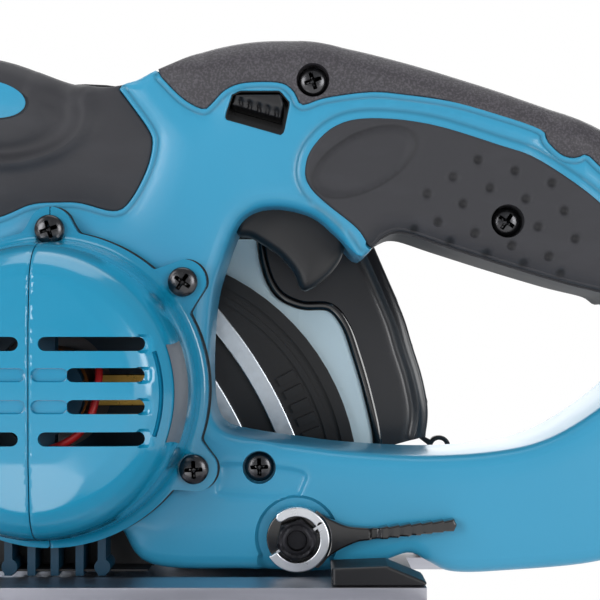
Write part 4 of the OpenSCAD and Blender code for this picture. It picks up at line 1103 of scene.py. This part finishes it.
def lever_ring():
    """Lever from the side: an arc clear of the jaw, a waisted neck and a bar with two saw-toothed edges."""
    arc = LEVER_AT + polar(np.radians(np.linspace(-58, 58, 24)), 9.95)
    t = np.linspace(0, 1, 160)
    tooth = 0.42 * ((t * BAR_TEETH) % 1.0)
    top = np.column_stack([BAR_START + BAR_LENGTH * t, 22.1 + 2.4 * t + tooth])
    low = np.column_stack([BAR_START + BAR_LENGTH * t, 18.9 + 2.7 * t - tooth])[::-1]
    rows = [arc, open_curve(LEVER_TOP, 5), top, [[107.7, 23.1]], low, open_curve(LEVER_LOW, 5)]
    return spaced(np.vstack(rows), 0.45)


class SAW_OT_controls(bpy.types.Operator):
    """Trigger, lock-off lever in its window of painted shade, and the clamp lever with its jaw and nut"""

    bl_idname = "saw.controls"
    bl_label = "Trigger and levers"

    def execute(self, context):
        black = moulded("control_black", colour("black"), 0.42, grain=700.0, depth=0.00006)
        gloss = moulded("lever_gloss", colour("bead"), 0.16, grain=300.0, depth=0.00001, coat=0.7)
        self.trigger(black)
        self.lock_off(black, gloss)
        self.clamp(gloss)
        self.nut()
        return {"FINISHED"}

    def trigger(self, skin):
        """Two mirrored reliefs: a crowned cheek that rolls over a wide edge to the finger side."""
        ring = anticlockwise(spaced(closed_curve(TRIGGER, 6), 0.9))
        half = relief_mesh(ring, [], lambda p: 8.9 - crown(p, ring, 7.0, 1.0), 0.0, 3.0, 0.0, (), 1.2, 7)
        put_mesh("trigger_skin", *halves(half, half), skin, "trigger_lever", "black_plastic", ["trigger"], 45)

    def lock_off(self, skin, dark):
        """Lever pad with a row of grip notches along its lower edge, and a dark sleeve of painted shade in
        its window.
        """
        ring = anticlockwise(spaced(np.array(LOCK, float), 0.5))

        def face(p):
            x, z = p.T
            low = 149.2 - 0.282 * (x - 40.3)
            notch = smooth(0.2, 0.7, np.cos(2 * np.pi * x / 2.7)) * smooth(3.0, 2.2, z - low)
            return 23.1 - 1.5 * smooth(4.0, 0.5, z - low) - 0.8 * notch

        verts, faces = relief_mesh(ring, [], face, 9.1, 0.7, 0.0, (), 0.5, 5)
        put_mesh("lock_off_pad", left_side(verts), faces, skin, "lock_off", "black_plastic",
                 ["lock_off_lever"], 45)
        # Painted shade: a dark sleeve and back plate fill the window where its hollow lies in shade.
        hole = anticlockwise(spaced(np.array(WINDOW, float), 1.0))
        bore = hole + 0.4 * normals_in(hole)
        verts, faces = joined(shell_mesh(hole, [bore], level(FACE - 1.5), level(8.3), (), 2.0),
                              shell_mesh(hole, [], level(8.2), level(6.0), (), 2.0))
        put_mesh("window_sleeve", left_side(verts), faces, dark, "head", "black_plastic")

    def clamp(self, skin):
        """Disc, neck and toothed bar of the lever, and its bright jaw."""

        def bar_face(p):
            x = p[:, 0]
            step = smooth(81.6, 82.4, x) * smooth(85.0, 84.2, x)
            rib = np.abs(((x - BAR_START) / BAR_LENGTH * BAR_TEETH) % 1.0 - 0.5) * (x > 84.6)
            return 29.2 - 0.9 * step - 0.3 * rib

        bar = relief_mesh(lever_ring(), [], bar_face, LEVER_BACK, 0.55, 0.0, (), 0.7, 5)
        disc = relief_mesh(circle(LEVER_AT, 9.1, 90), [circle(LEVER_AT, 3.35, 40)], level(26.5), LEVER_BACK,
                           0.3, 0.2, (), 1.5, 4)
        verts, faces = joined(bar, disc)
        put_mesh("clamp_lever_skin", left_side(verts), faces, skin, "arm_lever", "gloss_black",
                 ["clamp_lever"], 35)
        bright = metal("jaw_plated", colour("chrome"), 0.3, scale=260.0, depth=0.00001)
        verts, faces = relief_mesh(jaw_ring(), [], level(29.85), 26.65, 0.4, 0.0, (), 0.8, 5)
        put_mesh("lever_jaw_skin", left_side(verts), faces, bright, "arm_lever", "bright_chrome",
                 ["lever_jaw"], 40)

    def nut(self):
        """Hexagon nut with its round socket, on a plain stud."""
        ring = LEVER_AT + polar(np.radians(18 + 60 * np.arange(6)), NUT_R)

        def face(p):
            r = from_point(p, LEVER_AT)
            return 31.9 - 0.9 * smooth(5.1, 6.4, r) - 0.35 * bell(r, 4.4, 0.3) - 1.8 * smooth(3.1, 2.7, r)

        rings = [circle(LEVER_AT, r, 40) for r in (3.1, 2.9, 2.7)]
        nut = relief_mesh(spaced(ring, 0.5), [], face, 27.05, 0.35, 0.0, rings, 0.5, 4)
        stud, quads = lathe([(0, 29.0), (3.15, 29.0), (3.15, 11.0), (0, 11.0)], 40)
        verts, faces = joined(nut, (stud + [LEVER_AT[0], 0, LEVER_AT[1]], [quads[:, ::-1]]))
        skin = metal("nut_black", colour("nut"), 0.42, scale=700.0)
        put_mesh("lever_nut_skin", left_side(verts), faces, skin, "head", "black_steel", ["lever_nut"], 35)


def node_finishes():
    """One finish for each material slot of the record, for the CAD nodes that stay in view."""
    return {
        "blue_plastic": moulded("blue_plastic", colour("housing"), 0.34, coat=0.15),
        "cover_blue": moulded("cover_blue", colour("cover"), 0.2, coat=0.6),
        "dark_blue": moulded("dark_blue", colour("cage"), 0.38),
        "grained_black": grained("grained_black", colour("top_cover"), 0.5),
        "black_plastic": moulded("black_plastic", colour("black"), 0.36, grain=700.0, depth=0.00006),
        "gloss_black": moulded("gloss_black", colour("bead"), 0.14, coat=0.8),
        "soft_grip": soft("soft_grip", colour("soft"), 0.58),
        # Painted light: the panel colour is raised to stand in for light it lacks behind the opening.
        "panel_grey": moulded("panel_grey", colour("panel"), 0.28, grain=400.0, depth=0.00002, coat=0.3),
        "aluminium": metal("aluminium", colour("aluminium"), 0.36, (0.04, 1, 1), 700.0),
        "cast_metal": metal("cast_metal", colour("cast"), 0.36, scale=420.0, depth=0.00005),
        "steel": metal("steel", colour("steel"), 0.3, (1, 1, 1), 600.0),
        "black_steel": metal("black_steel", colour("screw"), 0.34, scale=500.0),
        "bright_chrome": metal("bright_chrome", colour("chrome"), 0.13, scale=120.0, depth=0.000004),
        "brass": metal("brass", colour("brass"), 0.3, scale=350.0),
        "copper": metal("copper", colour("copper"), 0.34, scale=350.0),
        "carbon": moulded("carbon", colour("black"), 0.6),
        "lamination": metal("lamination", colour("lamination"), 0.42, (1, 40, 1), 60.0, 0.0001),
    }


WIDE_BEVEL = {
    "trigger": 2.2, "lock_off_lever": 0.9, "clamp_lever": 1.1, "lever_jaw": 0.5, "rear_shell": 1.4,
    "duct_panel": 0.8, "outer_cover": 1.5, "blade_case": 0.8, "motor_housing": 0.6, "anti_tip_slide": 0.8,
    "dust_nozzle": 0.7,
}
NO_BEVEL = ("saw_blade", "armature", "commutator", "stator", "pinion", "idler_gear", "spindle_gear", "fan",
            "baffle_ring")


class SAW_OT_nodes(bpy.types.Operator):
    """Finishes on the CAD nodes that stay in view, with merged corners and small rounded edges"""

    bl_idname = "saw.nodes"
    bl_label = "CAD finishes"

    def execute(self, context):
        skins = node_finishes()
        for row in frame["record"]["subparts"]:
            obj = frame["nodes"][row["node"]]
            obj.data.materials.clear()
            obj.data.materials.append(skins[row["material_slot"]])
            obj.data.polygons.foreach_set("material_index", np.zeros(len(obj.data.polygons), np.int32))
            if obj.hide_render or row["node"] in NO_BEVEL:
                continue
            weld = obj.modifiers.new("Merged corners", "WELD")
            weld.merge_threshold = 0.00001
            bevel = obj.modifiers.new("Rounded edges", "BEVEL")
            bevel.width = WIDE_BEVEL.get(row["node"], 0.35) * MM
            bevel.segments = 3 if row["node"] in WIDE_BEVEL else 2
            bevel.limit_method = "ANGLE"
            bevel.angle_limit = math.radians(32)
            bevel.harden_normals = False
        return {"FINISHED"}


class SAW_OT_stage(bpy.types.Operator):
    """Pale floor and backdrop, soft studio lights and the camera square on to the motor side"""

    bl_idname = "saw.stage"
    bl_label = "Stage"

    def execute(self, context):
        scene = context.scene
        scene.view_settings.view_transform = "Standard"
        self.floor(scene)
        self.world(scene)
        self.lights(scene)
        self.camera(scene)
        return {"FINISHED"}

    def floor(self, scene):
        """Flat sheet under the blade's lowest point that curves up into a backdrop far behind."""
        low = CAD_BOX[0][2] - 0.001
        u = np.linspace(-3, 3, 13)
        v = np.linspace(0, 1, 41)
        bend = np.pi / 2 * np.clip((v - 0.5) / 0.2, 0, 1)
        y = -3 + np.minimum(v, 0.5) * 10 + 0.8 * np.sin(bend)
        z = low + 0.8 * (1 - np.cos(bend)) + np.maximum(v - 0.7, 0) * 10
        sheet = np.stack(np.broadcast_arrays(u[:, None], y, z), -1).reshape(-1, 3)
        quads = row_quads(len(u), len(v), False)[:, [0, 3, 2, 1]]
        mesh = bpy.data.meshes.new("studio_floor")
        mesh.from_pydata(sheet.tolist(), [], quads.tolist())
        mesh.shade_smooth()
        f = Finish("studio_paper")
        f.set(Base_Color=f.mix(f.noise(3.0), (0.86, 0.86, 0.86, 1), (0.9, 0.9, 0.9, 1)), Roughness=0.9)
        split = f.node("ShaderNodeSeparateXYZ", {}, {0: f.place}, out="Y")
        away = f.node("ShaderNodeMapRange", {}, {"Value": split, 1: 0.12, 2: 0.3, 3: 0.55, 4: 1.0})
        path = f.node("ShaderNodeLightPath", out="Is Camera Ray")
        seen = path.math("MAXIMUM", path, f.node("ShaderNodeLightPath", out="Is Transmission Ray")) * away
        share = seen.math("MAXIMUM", seen, f.node("ShaderNodeLightPath", out="Is Glossy Ray") * 0.9)
        glow = f.node("ShaderNodeEmission", {}, {"Color": (1, 1, 1, 1), "Strength": 1.0})
        out = next(n for n in f.tree.nodes if n.type == "OUTPUT_MATERIAL")
        lit = Socket(f, f.shader.outputs[0])
        f.feed(out.inputs["Surface"], f.node("ShaderNodeMixShader", {}, {0: share, 1: lit, 2: glow}))
        mesh.materials.append(f.material)
        obj = bpy.data.objects.new("studio_floor", mesh)
        scene.collection.objects.link(obj)
        obj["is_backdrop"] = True

    def world(self, scene):
        world = bpy.data.worlds.new("studio_world")
        scene.world = world
        world.use_nodes = True
        tree = world.node_tree
        plain = next(n for n in tree.nodes if n.type == "BACKGROUND")
        plain.inputs["Color"].default_value = (0.93, 0.96, 1.0, 1)
        plain.inputs["Strength"].default_value = 0.36

    def lights(self, scene):
        for name, place, aim, size, power in (
                ("left_light", (-1.25, -1.95, 0.5), (0.06, 0, 0.08), 0.9, 17.0),
                ("right_light", (1.35, -1.95, 0.4), (0.06, 0, 0.08), 0.9, 16.0),
                ("bounce_light", (-0.045, -0.2, -0.018), (-0.013, -0.06, 0.04), 0.075, 0.04),
                ("key_light", (-1.3, -0.8, 1.1), (0.06, 0, 0.09), 0.9, 6.0),
                ("top_light", (0.1, 0.1, 1.6), (0.06, 0, 0.08), 1.2, 8.0),
                ("back_light", (0.2, 2.0, 0.8), (0.06, 0.05, 0.08), 2.0, 22.0)):
            lamp = bpy.data.lights.new(name, "AREA")
            lamp.shape = "SQUARE"
            lamp.size = size
            lamp.energy = power
            obj = bpy.data.objects.new(name, lamp)
            obj.location = place
            obj.rotation_euler = (Vector(aim) - Vector(place)).to_track_quat("-Z", "Y").to_euler()
            obj.visible_camera = False
            scene.collection.objects.link(obj)

    def camera(self, scene):
        lens = bpy.data.cameras.new("photo_camera")
        lens.sensor_width = 36.0
        lens.lens = 90.84
        lens.shift_y = 0.05
        lens.clip_start = 0.01
        obj = bpy.data.objects.new("photo_camera", lens)
        obj.location = (0.061, -0.479, 0.0811)
        obj.rotation_euler = (math.pi / 2, 0, 0)
        scene.collection.objects.link(obj)
        scene.camera = obj


def tint(label, red, green, blue):
    """A colour setting from sRGB channels of 0 to 255."""
    return FloatVectorProperty(name=label, description=label + ", as seen on screen", subtype="COLOR_GAMMA",
                               size=3, min=0.0, max=1.0, default=(red / 255, green / 255, blue / 255))


def length(label, value):
    """A size setting in millimetres."""
    return FloatProperty(name=label, description=label + ", in millimetres", default=value, min=0.1, max=20.0)


class SawSizes(bpy.types.PropertyGroup):
    """Sizes of the visible form that the CAD solids leave square"""

    edge_round: length("Rounding of the blue edges", 4.5)
    cover_round: length("Rounding of the black covers", 8.5)
    cover_wall: length("Wall of the motor cover", 2.5)


class SawColours(bpy.types.PropertyGroup):
    """Colours of the finishes"""

    housing: tint("Blue housing", 52, 150, 188)
    cover: tint("Motor cover", 20, 138, 176)
    cage: tint("Motor cage", 12, 60, 84)
    top_cover: tint("Grained top cover", 66, 63, 68)
    soft: tint("Soft grips", 52, 52, 56)
    black: tint("Black plastic", 20, 20, 23)
    bead: tint("Glossy bead", 10, 10, 12)
    shell: tint("Black rear shell", 34, 34, 38)
    plate: tint("Bare arc plate", 112, 118, 126)
    # Painted light: the duct panel is lighter than its own colour, standing in for light that barely reaches
    # it behind the hand opening.
    panel: tint("Duct panel", 222, 244, 255)
    screw: tint("Blackened screws", 78, 78, 80)
    nut: tint("Lever nut", 46, 46, 49)
    aluminium: tint("Aluminium sole", 196, 196, 204)
    cast: tint("Cast metal", 222, 228, 234)
    steel: tint("Steel", 190, 192, 194)
    chrome: tint("Bright chrome", 235, 238, 242)
    brass: tint("Brass", 200, 160, 80)
    copper: tint("Copper", 184, 115, 62)
    lamination: tint("Laminated core", 110, 110, 114)
    lead: tint("Brush lead", 190, 32, 34)


OPERATORS = (SAW_OT_housing, SAW_OT_grips, SAW_OT_motor_cover, SAW_OT_screws, SAW_OT_controls, SAW_OT_trim,
             SAW_OT_nodes, SAW_OT_stage)


class SAW_PT_looks(bpy.types.Panel):
    """Lists the steps that dress the saw"""

    bl_idname = "SAW_PT_looks"
    bl_label = "Plunge saw"
    bl_space_type = "VIEW_3D"
    bl_region_type = "UI"
    bl_category = "Saw"

    def draw(self, context):
        for group in (context.scene.saw_sizes, context.scene.saw_colours):
            column = self.layout.column()
            for key in type(group).__annotations__:
                column.prop(group, key)
        for kind in OPERATORS:
            self.layout.operator(kind.bl_idname)


CLASSES = (SawSizes, SawColours) + OPERATORS + (SAW_PT_looks,)


def register():
    for kind in CLASSES:
        bpy.utils.register_class(kind)
    bpy.types.Scene.saw_sizes = PointerProperty(type=SawSizes)
    bpy.types.Scene.saw_colours = PointerProperty(type=SawColours)


def unregister():
    del bpy.types.Scene.saw_sizes
    del bpy.types.Scene.saw_colours
    for kind in reversed(CLASSES):
        bpy.utils.unregister_class(kind)


def plain(box):
    return [[float(v) for v in corner] for corner in box]


def main():
    register()
    bpy.ops.saw.housing()
    bpy.ops.saw.grips()
    bpy.ops.saw.motor_cover()
    bpy.ops.saw.screws()
    bpy.ops.saw.controls()
    bpy.ops.saw.trim()
    bpy.ops.saw.nodes()
    bpy.ops.saw.stage()
    {"cad": plain(CAD_BOX), "visual": plain(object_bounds())}


if __name__ == "__main__":
    main()
